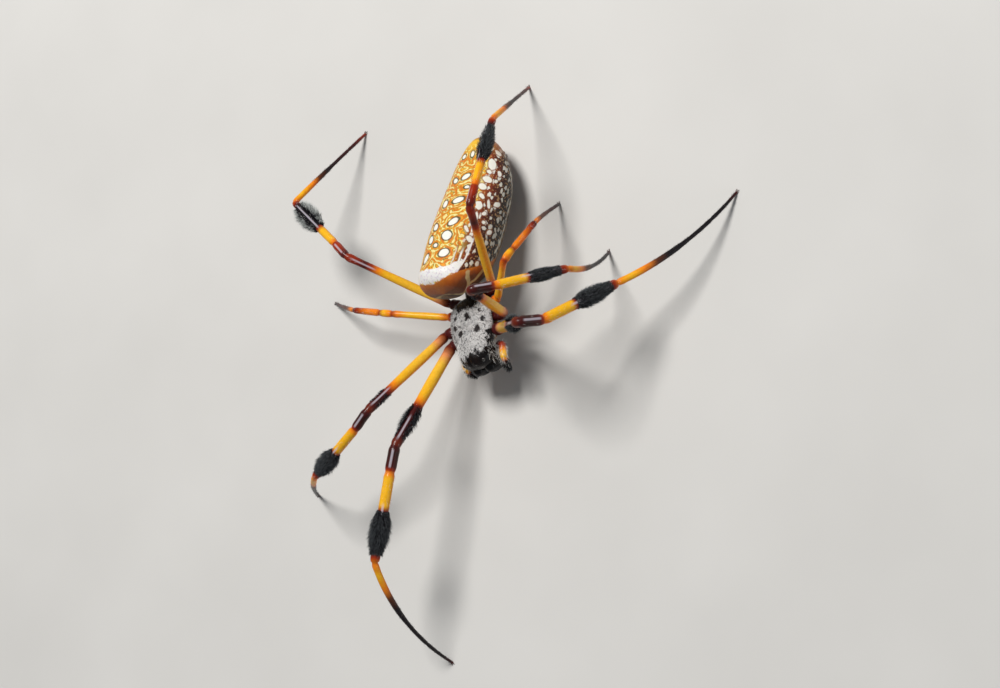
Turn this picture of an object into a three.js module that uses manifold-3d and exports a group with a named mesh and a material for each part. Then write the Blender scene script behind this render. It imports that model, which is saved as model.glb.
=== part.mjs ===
// A female golden silk orb weaver at life size, standing on a level floor on its eight feet.
// Millimetres. +X is ahead of the spider, +Y its left side and +Z up. The floor is z = 0.
// The body is modelled round the pedicel, the narrow waist, and the legs from their hip joints.

import * as THREE from 'three';
import { mergeVertices } from 'three/addons/utils/BufferGeometryUtils.js';
import Module from 'manifold-3d';

const wasm = await Module();
wasm.setup();

const radians = THREE.MathUtils.degToRad;

// A grown outline leans away from its own surface, so it is grown by a little more than the gap
const GAP = 0.3;
const CLEAR = 0.42;
const MERGE = 1e-4;

// Stance of the body
const WAIST_HEIGHT = 6.24;
const BODY_ROLL = 12.7;
const BODY_PITCH = 2.5;

// Abdomen: where its long axis starts, and how it points back and down
const ABDOMEN_START = [0.0, -0.4, 9.2];
const ABDOMEN_DROOP = 19.4;
const ABDOMEN_YAW = 13.2;

// Head shield sections: distance ahead of the waist, half width, top, rim and underside
const SHIELD = [
  { x: 1.2, half: 1.2, top: 1.0, rim: 0.7, under: 0.3 },
  { x: 1.65, half: 2.1, top: 1.2, rim: 0.75, under: 0.25 },
  { x: 2.5, half: 2.85, top: 1.4, rim: 0.75, under: 0.2 },
  { x: 3.9, half: 3.2, top: 1.55, rim: 0.75, under: 0.2 },
  { x: 5.2, half: 3.1, top: 1.7, rim: 0.8, under: 0.1 },
  { x: 6.4, half: 2.7, top: 2.0, rim: 0.8, under: -0.4 },
  { x: 7.5, half: 2.4, top: 2.4, rim: 0.8, under: -0.9 },
  { x: 8.5, half: 2.2, top: 2.35, rim: 0.85, under: -0.9 },
  { x: 9.2, half: 1.8, top: 1.95, rim: 0.9, under: -0.5 },
  { x: 9.55, half: 1.2, top: 1.5, rim: 0.9, under: 0.2 },
];
const SHIELD_ENDS = { back: [1.0, 0.65], front: [9.7, 0.95] };
const SHIELD_SIDES = 18;

// A pad's widths at shares of its length, and how far its middle swells beyond its edges
const PAD_SHARES = [0, 0.12, 0.35, 0.65, 0.88, 1];
const PAD_WIDTHS = [0.45, 0.8, 1, 1, 0.8, 0.45];
const PAD_SWELL = 1.236;
const PAD_SIDES = 10;

// Underside between the hips, and the breast plate below it
const KEEL = { back: 1.1, front: 7.9, half: 1.75, top: 0.9, under: -1.2 };
const STERNUM = { back: 1.3, front: 6.6, half: 1.7, top: -1.45, under: -2.05 };

// Abdomen sections: distance back along the axis, top and bottom from it, and half width
const ABDOMEN = [
  { back: -1.4, top: 2.7, bottom: -0.3, half: 2.5 },
  { back: -0.9, top: 3.65, bottom: -0.7, half: 3.1 },
  { back: 0.2, top: 4.2, bottom: -1.5, half: 3.55 },
  { back: 1.8, top: 4.2, bottom: -2.9, half: 3.9 },
  { back: 4.0, top: 4.15, bottom: -3.95, half: 4.15 },
  { back: 6.5, top: 3.9, bottom: -4.25, half: 4.3 },
  { back: 9.0, top: 3.5, bottom: -4.3, half: 4.3 },
  { back: 11.5, top: 3.0, bottom: -4.2, half: 4.3 },
  { back: 14.0, top: 2.55, bottom: -3.85, half: 4.05 },
  { back: 16.2, top: 2.3, bottom: -3.1, half: 3.4 },
  { back: 18.0, top: 2.0, bottom: -2.0, half: 2.35 },
  { back: 19.0, top: 1.5, bottom: -0.95, half: 1.3 },
];
const ABDOMEN_ENDS = { front: [-1.6, 1.2], rear: [19.4, 0.2] };
const ABDOMEN_SIDES = 24;

// Waist: a short stem from the back of the trunk into the front of the abdomen
const WAIST = { root: [2.2, 0, 0.3], end: [-2.6, 0, -1.3], radii: [0.55, 0.47, 0.55] };

// Spinnerets: a low boss under the tail with three pairs of cones
const SPINNERET = { back: 17.7, drop: -2.25, boss: 0.65, length: 0.9, radii: [0.32, 0.19] };
const SPINNERET_ROOT = { side: 0.3, rise: 0.21 };
const SPINNERET_TIP = { side: 0.42, rise: 0.34 };

// Eyes: two rows of four on the front of the head, as distance ahead, to the side and up
const EYE_RADIUS = 0.26;
const EYES = {
  eye_front_median: [9.15, 0.45, 1.88],
  eye_rear_median: [8.2, 0.5, 2.27],
  eye_front_lateral: [8.88, 1.48, 1.72],
  eye_rear_lateral: [8.08, 1.6, 1.86],
};

// Jaws: each base is a stout pod with a curved fang folded in below it
const JAW = { top: [9.6, 0.98, 0.5], foot: [8.9, 0.9, -1.9], radius: 0.82 };
const JAW_SHARES = [0.6, 0.92, 1, 0.97, 0.82, 0.55];
const JAW_SIDES = 10;
const FANG = { root: [8.85, 1.0, -2.0], bend: [8.7, 0.75, -2.9], tip: [7.9, 0.35, -3.0], radius: 0.3 };
const FANG_SHARES = [1, 1, 0.85, 0.6, 0.25];
const SMALL_SIDES = 6;

// Palps: the joints of each short feeler, from the mouth outward
const PALPS = {
  left: [[7.3, 1.75, -1.1], [7.5, 3.0, -0.3], [8.9, 3.15, 0.1], [9.5, 3.2, -0.1], [10.4, 3.05, -0.8]],
  right: [[7.3, -1.75, -1.1], [7.6, -3.0, -0.3], [8.6, -2.85, 0.1], [9.2, -2.7, -0.2], [9.7, -2.3, -1.2]],
};
const PALP_RADII = [0.8, 0.4, 0.42, 0.4, 0.25];
const PALP_SIDES = 7;

// Legs in pairs from the front: hip places on the body, lengths and radii of the joints
const LEG_PAIRS = {
  1: {
    root: [5.45, 1.6, -0.35], hip: [5.85, 3.89, 0.6], hipRadius: 0.72,
    femur: 14.5, patella: 3.1, tibia: 10.4, foot: 17.5,
    femurRadius: 0.62, tibiaRadius: 0.62, footRadius: 0.38,
  },
  2: {
    root: [4.0, 1.6, -0.4], hip: [4.25, 4.7, 0.27], hipRadius: 0.66,
    femur: 13.7, patella: 2.9, tibia: 8.8, foot: 13.1,
    femurRadius: 0.56, tibiaRadius: 0.55, footRadius: 0.35,
  },
  3: {
    root: [2.7, 1.6, -0.4], hip: [2.24, 4.02, 0.1], hipRadius: 0.55,
    femur: 6.9, patella: 1.9, tibia: 4.6, foot: 8.7,
    femurRadius: 0.42, tibiaRadius: 0.4, footRadius: 0.27,
  },
  4: {
    root: [1.45, 1.4, -0.4], hip: [0.84, 3.46, -0.1], hipRadius: 0.62,
    femur: 13.4, patella: 2.7, tibia: 9.2, foot: 14.7,
    femurRadius: 0.5, tibiaRadius: 0.48, footRadius: 0.33,
  },
};
const LEG_SIDES = 8;

// Radii at even shares of each joint's length, against the joint's own radius
const COXA_SHARES = [0.6, 0.85, 1, 0.95];
const FEMUR_SHARES = [1, 1, 1.05, 1, 0.92, 0.9, 0.98];
const PATELLA_SHARES = [0.95, 1.05, 0.95];
const TIBIA_SHARES = [0.95, 1.02, 1, 0.92, 0.85];
const FOOT_SHARES = [1, 1.05, 0.95, 0.85];

// The foot's far half, its tip, how far it runs on below the floor before the cut, and its ball at the ankle
const FOOT_THIN_SHARE = 0.68;
const FOOT_TIP_RADIUS = 0.25;
const FOOT_RUN_ON = 0.375;
const ANKLE_BALL_SHARE = 1.02;
const BOW_REACH = 2;

// Half angles at which the rings of a rounded end sit
const ROUND_END = [radians(35), radians(65)];

// Pose: compass heading and rise in degrees of each joint, and how the foot bows off its chord
const POSE = {
  l1: { femur: [70, 52], patella: [92, -51], tibia: [122, -48], foot: 124, bow: [1.0, 0.7, 0.4] },
  l2: { femur: [89, 76], patella: [95, -43], tibia: [101, -45], foot: -172, bow: [0.9, 0.3, 0.35] },
  l3: { femur: [123, 44], patella: [148, -39], tibia: [149, -38], foot: -173, bow: [0.0, 0.1, 0.3] },
  l4: { femur: [146, 53], patella: [163, -16], tibia: [169, -25], foot: -170, bow: [0.1, 0.25, 0.4] },
  r1: { femur: [-25, 31], patella: [-21, 4], tibia: [-22, 0], foot: 1, bow: [0.75, -0.7, 1.0] },
  r2: { femur: [-41, 38], patella: [-56, -9], tibia: [-65, -14], foot: -92, bow: [0.2, -0.2, 0.4] },
  r3: { femur: [-107, 14], patella: [-110, -6], tibia: [-111, -14], foot: -119, bow: [0.0, -0.1, 0.3] },
  r4: { femur: [-130, 32], patella: [-143, -12], tibia: [-141, -10], foot: 150, bow: [0.1, 0.2, 0.4] },
};

// Brushes: where the roots of the first and last rows sit along the joint, the rows, and the outer radius
const BRUSHES = {
  1: {
    femur: { from: 0.6, to: 0.87, rows: 4, radius: 1.1 },
    tibia: { from: 0.42, to: 0.83, rows: 5, radius: 1.35 },
  },
  2: { tibia: { from: 0.46, to: 0.8, rows: 4, radius: 1.3 } },
  4: { tibia: { from: 0.35, to: 0.82, rows: 5, radius: 1.25 } },
};

// A lock of bristles: how far off the leg's axis its root sits, its lean off the leg in degrees,
// its half width and thickness, and its size at shares of its length
const LOCKS_ROUND = 6;
const LOCK_ROOT = 0.1;
const LOCK_LEAN = 42;
const LOCK_WIDTH = 0.34;
const LOCK_THICKNESS = 0.5;
const LOCK_SHAPE = [[0, 0.45], [0.5, 1]];
const LOCK_BEND = 0.25;
const LOCK_BASE = 0.05;
const END_ROW_FULLNESS = 0.82;
const BRUSH_JITTER = { turn: 0.3, lean: 12, length: 0.24, place: 0.03 };
const BRUSH_SEED = 4002;

// Colour and roughness of each finish
const FINISH = {
  shield: ['#b9b6b0', 0.6],
  sternum: ['#8a5a24', 0.5],
  waist: ['#5a2a14', 0.5],
  abdomen: ['#d8962a', 0.5],
  spinnerets: ['#7a3c14', 0.5],
  jaws: ['#141011', 0.25],
  fangs: ['#3a120c', 0.2],
  palps: ['#c98a2c', 0.5],
  eyes: ['#0a0a0a', 0.05],
  femur: ['#dba32c', 0.4],
  tibia: ['#3b1a17', 0.5],
  foot: ['#2a1b18', 0.4],
};

const vec = (x, y, z) => new THREE.Vector3(x, y, z);

const scaled = (shares, size) => shares.map((share) => share * size);

// Numbers from 0 to 1 that look random and are the same on each run
function seededRandom(seed) {
  let state = seed;
  return () => {
    state = (Math.imul(state, 1664525) + 1013904223) >>> 0;
    return state / 2 ** 32;
  };
}

// Turns a closed three.js geometry into a solid for cutting and joining
function toSolid(geometry) {
  const plain = geometry.clone();
  plain.deleteAttribute('normal');
  plain.deleteAttribute('uv');
  const merged = mergeVertices(plain, MERGE);
  const corners = merged.index.array;
  const kept = [];
  for (let i = 0; i < corners.length; i += 3) {
    const [a, b, c] = corners.slice(i, i + 3);
    if (a !== b && b !== c && c !== a) kept.push(a, b, c);
  }
  const vertProperties = new Float32Array(merged.attributes.position.array);
  return new wasm.Manifold(new wasm.Mesh({ numProp: 3, vertProperties, triVerts: new Uint32Array(kept) }));
}

// Gives the largest closed surface of a solid back as a geometry round a chosen point
function toGeometry(solid, origin) {
  const pieces = solid.decompose();
  const largest = pieces.reduce((a, b) => (b.volume() > a.volume() ? b : a));
  const { vertProperties, triVerts } = largest.getMesh();
  const geometry = new THREE.BufferGeometry();
  geometry.setAttribute('position', new THREE.BufferAttribute(new Float32Array(vertProperties), 3));
  geometry.setIndex(new THREE.BufferAttribute(new Uint32Array(triVerts), 1));
  geometry.translate(-origin.x, -origin.y, -origin.z);
  geometry.computeVertexNormals();
  return geometry;
}

// Skins a row of rings, each a list of points, between two end points
function loft(start, rings, end) {
  const sides = rings[0].length;
  const points = [start, ...rings.flat(), end];
  const at = (ring, side) => 1 + ring * sides + (side % sides);
  const last = points.length - 1;
  const corners = [];
  for (let k = 0; k < sides; k += 1) {
    corners.push(0, at(0, k + 1), at(0, k));
    for (let i = 0; i + 1 < rings.length; i += 1) {
      corners.push(at(i, k), at(i, k + 1), at(i + 1, k + 1));
      corners.push(at(i, k), at(i + 1, k + 1), at(i + 1, k));
    }
    corners.push(last, at(rings.length - 1, k), at(rings.length - 1, k + 1));
  }
  const geometry = new THREE.BufferGeometry().setFromPoints(points);
  geometry.setIndex(corners);
  return geometry;
}

// A tube along a curve whose radius changes from station to station
function tube(curve, radii, sides) {
  const frames = curve.computeFrenetFrames(radii.length - 1, false);
  const rings = radii.map((radius, i) => {
    const centre = curve.getPointAt(i / (radii.length - 1));
    return Array.from({ length: sides }, (_, k) => {
      const turn = (2 * Math.PI * k) / sides;
      return centre.clone()
        .addScaledVector(frames.normals[i], radius * Math.cos(turn))
        .addScaledVector(frames.binormals[i], radius * Math.sin(turn));
    });
  });
  return toSolid(loft(curve.getPointAt(0), rings, curve.getPointAt(1)));
}

// A limb through its joints in straight stretches, mitred at each bend and round at both ends.
// Each stretch has its own list of radii, spread evenly from joint to joint.
function limb(joints, stretches, sides) {
  const headings = stretches.map((_, i) => joints[i + 1].clone().sub(joints[i]).normalize());
  const upright = Math.abs(headings[0].z) > 1 - MERGE;
  const across = upright ? vec(0, 1, 0) : vec(0, 0, 1).cross(headings[0]).normalize();
  const rings = [];
  const addRing = (centre, along, radius, square) => {
    const other = along.clone().cross(across);
    rings.push(Array.from({ length: sides }, (_, k) => {
      const turn = (2 * Math.PI * k) / sides;
      const offset = across.clone().multiplyScalar(Math.cos(turn)).addScaledVector(other, Math.sin(turn));
      offset.multiplyScalar(radius);
      return offset.addScaledVector(along, -offset.dot(square) / along.dot(square)).add(centre);
    }));
  };
  const first = stretches[0][0];
  const last = stretches.at(-1).at(-1);
  const tail = joints[0].clone().addScaledVector(headings[0], -first);
  const nose = joints.at(-1).clone().addScaledVector(headings.at(-1), last);
  for (const turn of ROUND_END) {
    const centre = joints[0].clone().addScaledVector(headings[0], -first * Math.cos(turn));
    addRing(centre, headings[0], first * Math.sin(turn), headings[0]);
  }
  stretches.forEach((radii, i) => {
    const along = headings[i];
    radii.forEach((radius, j) => {
      const ends = j === radii.length - 1;
      const centre = joints[i].clone().lerp(joints[i + 1], j / (radii.length - 1));
      const next = headings[i + 1];
      if (ends && next) addRing(centre, along, radius, along.clone().add(next).normalize());
      else if (j > 0 || i === 0) addRing(centre, along, radius, along);
    });
    if (headings[i + 1]) {
      across.applyQuaternion(new THREE.Quaternion().setFromUnitVectors(along, headings[i + 1]));
    }
  });
  for (const turn of [...ROUND_END].reverse()) {
    const centre = joints.at(-1).clone().addScaledVector(headings.at(-1), last * Math.cos(turn));
    addRing(centre, headings.at(-1), last * Math.sin(turn), headings.at(-1));
  }
  return toSolid(loft(tail, rings, nose));
}

function ball(centre, radius, detail = 1) {
  const geometry = new THREE.IcosahedronGeometry(radius, detail);
  geometry.translate(centre.x, centre.y, centre.z);
  return toSolid(geometry);
}

function heading([compass, rise]) {
  const level = Math.cos(radians(rise));
  return vec(
    level * Math.cos(radians(compass)),
    level * Math.sin(radians(compass)),
    Math.sin(radians(rise)),
  );
}

// A group for one part of the body, and the matrix that takes its points to the floor's frame
function bodyGroup(place, euler) {
  const group = new THREE.Group();
  group.position.set(...place);
  group.rotation.copy(euler);
  group.updateMatrixWorld();
  return group;
}

function addMesh(parent, name, geometry, [colour, roughness], origin = vec(0, 0, 0)) {
  const material = new THREE.MeshStandardMaterial({ color: colour, roughness, metalness: 0 });
  const mesh = new THREE.Mesh(geometry, material);
  mesh.name = name;
  mesh.position.copy(origin);
  parent.add(mesh);
  return mesh;
}

// Spreads places between two ends so that each end moves out by the given amount
function stretcher(low, high, grow) {
  const middle = (low + high) / 2;
  return (x) => x + (grow * (x - middle)) / ((high - low) / 2);
}

// The shield over the head and hips, grown all round by the given amount
function shieldSolid(grow) {
  const [backX, backZ] = SHIELD_ENDS.back;
  const [frontX, frontZ] = SHIELD_ENDS.front;
  const longer = stretcher(backX, frontX, grow);
  const rings = SHIELD.map(({ x, half, top, rim, under }) => (
    Array.from({ length: SHIELD_SIDES }, (_, k) => {
      const turn = (2 * Math.PI * k) / SHIELD_SIDES;
      const side = Math.cos(turn) * (half + grow);
      const rise = Math.sin(turn) > 0 ? top + grow - rim : rim - under + grow;
      return vec(longer(x), side, rim + rise * Math.sin(turn));
    })
  ));
  return toSolid(loft(vec(longer(backX), 0, backZ), rings, vec(longer(frontX), 0, frontZ)));
}

// A long pad with rounded sides, used for the keel and the breast plate
function padSolid({ back, front, half, top, under }, grow) {
  const middle = (top + under) / 2;
  const reach = ((top - under) / 2 + grow) * PAD_SWELL;
  const rings = PAD_SHARES.map((share, i) => (
    Array.from({ length: PAD_SIDES }, (_, k) => {
      const turn = (2 * Math.PI * (k + 0.5)) / PAD_SIDES;
      const long = back - grow + (front - back + 2 * grow) * share;
      const side = (half * PAD_WIDTHS[i] + grow) * Math.cos(turn);
      return vec(long, side, middle + reach * Math.sin(turn));
    })
  ));
  return toSolid(loft(vec(back - grow, 0, middle), rings, vec(front + grow, 0, middle)));
}

function trunkSolid(grow) {
  return shieldSolid(grow).add(padSolid(KEEL, grow));
}

// The abdomen, grown all round by the given amount
function abdomenSolid(grow) {
  const [frontBack, frontRise] = ABDOMEN_ENDS.front;
  const [rearBack, rearRise] = ABDOMEN_ENDS.rear;
  const longer = stretcher(-rearBack, -frontBack, grow);
  const rings = ABDOMEN.map(({ back, top, bottom, half }) => {
    const middle = (top + bottom) / 2;
    const reach = (top - bottom) / 2 + grow;
    return Array.from({ length: ABDOMEN_SIDES }, (_, k) => {
      const turn = (2 * Math.PI * k) / ABDOMEN_SIDES;
      return vec(longer(-back), (half + grow) * Math.sin(turn), middle + reach * Math.cos(turn));
    });
  });
  return toSolid(loft(vec(longer(-frontBack), 0, frontRise), rings, vec(longer(-rearBack), 0, rearRise)));
}

const bodyEuler = new THREE.Euler(radians(BODY_ROLL), radians(BODY_PITCH), 0, 'XYZ');
const abdomenTurns = [BODY_ROLL, -ABDOMEN_DROOP, -ABDOMEN_YAW].map(radians);
const abdomenEuler = new THREE.Euler(...abdomenTurns, 'ZYX');
const trunk = bodyGroup([0, 0, WAIST_HEIGHT], bodyEuler);
const rear = bodyGroup(ABDOMEN_START, abdomenEuler);

const fromTrunk = (point) => trunk.localToWorld(point.clone());

function buildTrunk() {
  const eyes = Object.values(EYES).flatMap(([x, y, z]) => [vec(x, y, z), vec(x, -y, z)]);
  const sockets = eyes.map((eye) => ball(eye, EYE_RADIUS + GAP));
  const carapace = sockets.reduce((solid, socket) => solid.subtract(socket), trunkSolid(0));
  addMesh(trunk, 'carapace', toGeometry(carapace, vec(0, 0, 0)), FINISH.shield);
  const sternum = padSolid(STERNUM, 0).subtract(padSolid(KEEL, CLEAR));
  addMesh(trunk, 'sternum', toGeometry(sternum, vec(0, 0, 0)), FINISH.sternum);
}

function buildWaist() {
  const root = fromTrunk(vec(...WAIST.root));
  const end = rear.localToWorld(vec(...WAIST.end));
  const stem = limb([root, end], [WAIST.radii], LEG_SIDES);
  const abdomen = abdomenSolid(CLEAR).transform(rear.matrixWorld.toArray());
  const origin = vec(0, 0, WAIST_HEIGHT);
  const waist = stem.subtract(clearTrunk).subtract(abdomen);
  addMesh(model, 'pedicel', toGeometry(waist, origin), FINISH.waist, origin);
}

function buildAbdomen() {
  addMesh(rear, 'abdomen', toGeometry(abdomenSolid(0), vec(0, 0, 0)), FINISH.abdomen);
  const spinnerets = spinneretSolid().subtract(abdomenSolid(CLEAR));
  addMesh(rear, 'spinnerets', toGeometry(spinnerets, vec(0, 0, 0)), FINISH.spinnerets);
}

function spinneretSolid() {
  const { back, drop, boss, length, radii } = SPINNERET;
  let solid = ball(vec(-back, 0, drop), boss);
  for (const side of [1, -1]) {
    for (const row of [1, 0, -1]) {
      const root = vec(-back, side * SPINNERET_ROOT.side, drop + row * SPINNERET_ROOT.rise);
      const tip = vec(-back - boss - length, side * SPINNERET_TIP.side, drop + row * SPINNERET_TIP.rise);
      solid = solid.add(tube(new THREE.LineCurve3(root, tip), radii, SMALL_SIDES));
    }
  }
  return solid;
}

function jawSolid(side, grow) {
  const top = vec(JAW.top[0], side * JAW.top[1], JAW.top[2]);
  const foot = vec(JAW.foot[0], side * JAW.foot[1], JAW.foot[2]);
  const radii = JAW_SHARES.map((share) => share * JAW.radius + grow);
  return limb([top, foot], [radii], JAW_SIDES).trimByPlane([0, side, 0], GAP / 2 - grow);
}

function buildMouth() {
  const head = trunkSolid(CLEAR);
  for (const [side, word] of [[1, 'left'], [-1, 'right']]) {
    const [root, bend, tip] = [FANG.root, FANG.bend, FANG.tip].map(([x, y, z]) => vec(x, side * y, z));
    const radii = scaled(FANG_SHARES, FANG.radius);
    const fang = tube(new THREE.QuadraticBezierCurve3(root, bend, tip), radii, SMALL_SIDES);
    const jaw = jawSolid(side, 0).subtract(head);
    addMesh(trunk, `chelicera_${word}`, toGeometry(jaw, vec(0, 0, 0)), FINISH.jaws);
    const clear = fang.subtract(jawSolid(side, GAP));
    addMesh(trunk, `fang_${word}`, toGeometry(clear, vec(0, 0, 0)), FINISH.fangs);
  }
}

function buildPalps() {
  const head = trunkSolid(CLEAR);
  for (const [word, places] of Object.entries(PALPS)) {
    const joints = places.map((place) => vec(...place));
    const stretches = PALP_RADII.slice(1).map((radius, i) => [PALP_RADII[i], radius]);
    const palp = limb(joints, stretches, PALP_SIDES).subtract(head);
    addMesh(trunk, `palp_${word}`, toGeometry(palp, vec(0, 0, 0)), FINISH.palps);
  }
}

function buildEyes() {
  for (const [name, [x, y, z]] of Object.entries(EYES)) {
    for (const [side, word] of [[1, 'left'], [-1, 'right']]) {
      const eye = new THREE.IcosahedronGeometry(EYE_RADIUS, 1);
      addMesh(trunk, `${name}_${word}`, eye, FINISH.eyes, vec(x, side * y, z));
    }
  }
}

// The joints of one leg in the floor's frame, from the hip to the foot's tip
function legJoints(code) {
  const side = code[0] === 'l' ? 1 : -1;
  const pair = LEG_PAIRS[code[1]];
  const pose = POSE[code];
  const mirror = ([x, y, z]) => fromTrunk(vec(x, side * y, z));
  const hip = mirror(pair.hip);
  const knee = hip.clone().addScaledVector(heading(pose.femur), pair.femur);
  const shin = knee.clone().addScaledVector(heading(pose.patella), pair.patella);
  const ankle = shin.clone().addScaledVector(heading(pose.tibia), pair.tibia);
  const reach = Math.sqrt(pair.foot ** 2 - ankle.z ** 2);
  const tip = ankle.clone().addScaledVector(heading([pose.foot, 0]), reach);
  tip.z = 0;
  return { root: mirror(pair.root), hip, knee, shin, ankle, tip, pair, pose };
}

// The flat between two joints lies square to the line that halves their bend
function parting(before, joint, after) {
  const incoming = joint.clone().sub(before).normalize();
  const outgoing = after.clone().sub(joint).normalize();
  return incoming.add(outgoing).normalize();
}

function keepBefore(solid, joint, normal) {
  const back = normal.clone().negate();
  return solid.trimByPlane(back.toArray(), back.dot(joint) + GAP / 2);
}

function keepAfter(solid, joint, normal) {
  return solid.trimByPlane(normal.toArray(), normal.dot(joint) + GAP / 2);
}

// One lock of bristles: a flat, bent blade of three sides, tapered from its root to a fine tip
function lock(root, along, out, length, lean) {
  const side = along.clone().cross(out);
  const ridge = out.clone().multiplyScalar(Math.cos(lean)).addScaledVector(along, -Math.sin(lean));
  const at = (share) => root.clone()
    .addScaledVector(along, length * Math.cos(lean) * share * (1 - LOCK_BEND + LOCK_BEND * share))
    .addScaledVector(out, length * Math.sin(lean) * share * (1 + LOCK_BEND - LOCK_BEND * share));
  const rings = LOCK_SHAPE.map(([share, size]) => [
    at(share).addScaledVector(side, LOCK_WIDTH * size),
    at(share).addScaledVector(side, -LOCK_WIDTH * size),
    at(share).addScaledVector(ridge, LOCK_THICKNESS * size),
  ]);
  const base = root.clone().addScaledVector(ridge, LOCK_BASE);
  return toSolid(loft(base, rings, at(1)));
}

// A brush of locks in staggered rows round one joint of a leg, each a little unlike the next
function brush(start, end, { from, to, rows, radius }, random) {
  const along = end.clone().sub(start).normalize();
  const across = vec(0, 0, 1).cross(along).normalize();
  const jitter = (size) => size * (random() - 0.5);
  const locks = [];
  for (let row = 0; row < rows; row += 1) {
    const share = from + ((to - from) * row) / (rows - 1);
    const fullness = row === 0 || row === rows - 1 ? END_ROW_FULLNESS : 1;
    for (let k = 0; k < LOCKS_ROUND; k += 1) {
      const turn = (2 * Math.PI * (k + (row % 2) / 2 + jitter(BRUSH_JITTER.turn))) / LOCKS_ROUND;
      const out = across.clone().applyAxisAngle(along, turn);
      const lean = radians(LOCK_LEAN + jitter(BRUSH_JITTER.lean));
      const length = ((radius - LOCK_ROOT) / Math.sin(lean)) * fullness * (1 + jitter(BRUSH_JITTER.length));
      const root = start.clone().lerp(end, share + jitter(BRUSH_JITTER.place));
      root.addScaledVector(out, LOCK_ROOT);
      locks.push(lock(root, along, out, length, lean));
    }
  }
  return locks.reduce((whole, piece) => whole.add(piece));
}

function femurSolid({ root, hip, knee, shin, pair, brushes, random }) {
  const coxa = scaled(COXA_SHARES, pair.hipRadius);
  const stem = scaled(FEMUR_SHARES, pair.femurRadius);
  let solid = limb([root, hip, knee], [coxa, stem], LEG_SIDES);
  if (brushes.femur) solid = solid.add(brush(hip, knee, brushes.femur, random));
  return keepBefore(solid, knee, parting(hip, knee, shin)).subtract(clearTrunk);
}

function tibiaSolid({ hip, knee, shin, ankle, tip, pair, brushes, random }) {
  const patella = scaled(PATELLA_SHARES, pair.tibiaRadius);
  const stem = scaled(TIBIA_SHARES, pair.tibiaRadius);
  let solid = limb([knee, shin, ankle], [patella, stem], LEG_SIDES);
  if (brushes.tibia) solid = solid.add(brush(shin, ankle, brushes.tibia, random));
  return keepBefore(keepAfter(solid, knee, parting(hip, knee, shin)), ankle, parting(shin, ankle, tip));
}

// The foot bows off its chord, starts as half a ball at the ankle and is cut flat at the floor
function footSolid({ shin, ankle, tip, pair, pose }) {
  const middle = ankle.clone().lerp(tip, 0.5).addScaledVector(vec(...pose.bow), BOW_REACH);
  const below = tip.clone().add(tip.clone().sub(middle).setLength(FOOT_RUN_ON));
  const curve = new THREE.QuadraticBezierCurve3(ankle, middle, below);
  const thin = Math.max(FOOT_TIP_RADIUS, pair.footRadius * FOOT_THIN_SHARE);
  const upper = scaled(FOOT_SHARES, pair.footRadius);
  const radii = [...upper, thin, thin, FOOT_TIP_RADIUS, FOOT_TIP_RADIUS];
  const solid = tube(curve, radii, LEG_SIDES).add(ball(ankle, pair.footRadius * ANKLE_BALL_SHARE));
  return keepAfter(solid, ankle, parting(shin, ankle, tip)).trimByPlane([0, 0, 1], 0);
}

function buildLeg(code, place) {
  const random = seededRandom(BRUSH_SEED + place);
  const leg = { ...legJoints(code), brushes: BRUSHES[code[1]] ?? {}, random };
  const femur = toGeometry(femurSolid(leg), leg.hip);
  const tibia = toGeometry(tibiaSolid(leg), leg.knee);
  addMesh(model, `leg_${code}_femur`, femur, FINISH.femur, leg.hip);
  addMesh(model, `leg_${code}_tibia`, tibia, FINISH.tibia, leg.knee);
  addMesh(model, `leg_${code}_foot`, toGeometry(footSolid(leg), leg.ankle), FINISH.foot, leg.ankle);
}

const model = new THREE.Group();
model.add(trunk, rear);
const clearTrunk = trunkSolid(CLEAR).transform(trunk.matrixWorld.toArray());

buildTrunk();
buildWaist();
buildAbdomen();
buildMouth();
buildPalps();
buildEyes();
Object.keys(POSE).forEach(buildLeg);

// The model's own origin is on the floor under the middle of its outline
const outline = new THREE.Box3().setFromObject(model, true);
const middle = outline.getCenter(vec(0, 0, 0));
model.position.set(-middle.x, -middle.y, 0);
model.updateMatrixWorld(true);

export default model;
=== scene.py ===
"""A female golden silk orb weaver on a pale floor. Lengths are in millimetres until a mesh is made."""
import math

import bpy
import numpy as np
from mathutils import Matrix, Vector


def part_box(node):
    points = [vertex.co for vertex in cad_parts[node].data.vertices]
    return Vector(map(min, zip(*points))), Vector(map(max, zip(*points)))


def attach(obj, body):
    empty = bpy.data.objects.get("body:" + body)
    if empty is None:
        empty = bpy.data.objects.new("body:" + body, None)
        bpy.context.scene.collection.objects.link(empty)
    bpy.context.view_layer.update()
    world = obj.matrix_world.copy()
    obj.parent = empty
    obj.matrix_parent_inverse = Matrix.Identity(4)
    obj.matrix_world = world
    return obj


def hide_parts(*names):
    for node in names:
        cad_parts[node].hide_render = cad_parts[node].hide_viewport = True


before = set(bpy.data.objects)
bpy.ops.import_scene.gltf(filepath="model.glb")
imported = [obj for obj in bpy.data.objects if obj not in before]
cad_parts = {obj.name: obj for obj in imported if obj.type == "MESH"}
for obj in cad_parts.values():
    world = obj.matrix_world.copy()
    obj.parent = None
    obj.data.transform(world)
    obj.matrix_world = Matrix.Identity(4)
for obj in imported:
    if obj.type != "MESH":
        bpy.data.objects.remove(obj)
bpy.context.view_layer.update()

MM = 0.001
SEED = 4002

# Stance of the body, as in the part's source

WAIST_HEIGHT = 6.24
BODY_ROLL = 12.7
BODY_PITCH = 2.5
ABDOMEN_START = [0.0, -0.4, 9.2]
ABDOMEN_DROOP = 19.4
ABDOMEN_YAW = 13.2

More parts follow.
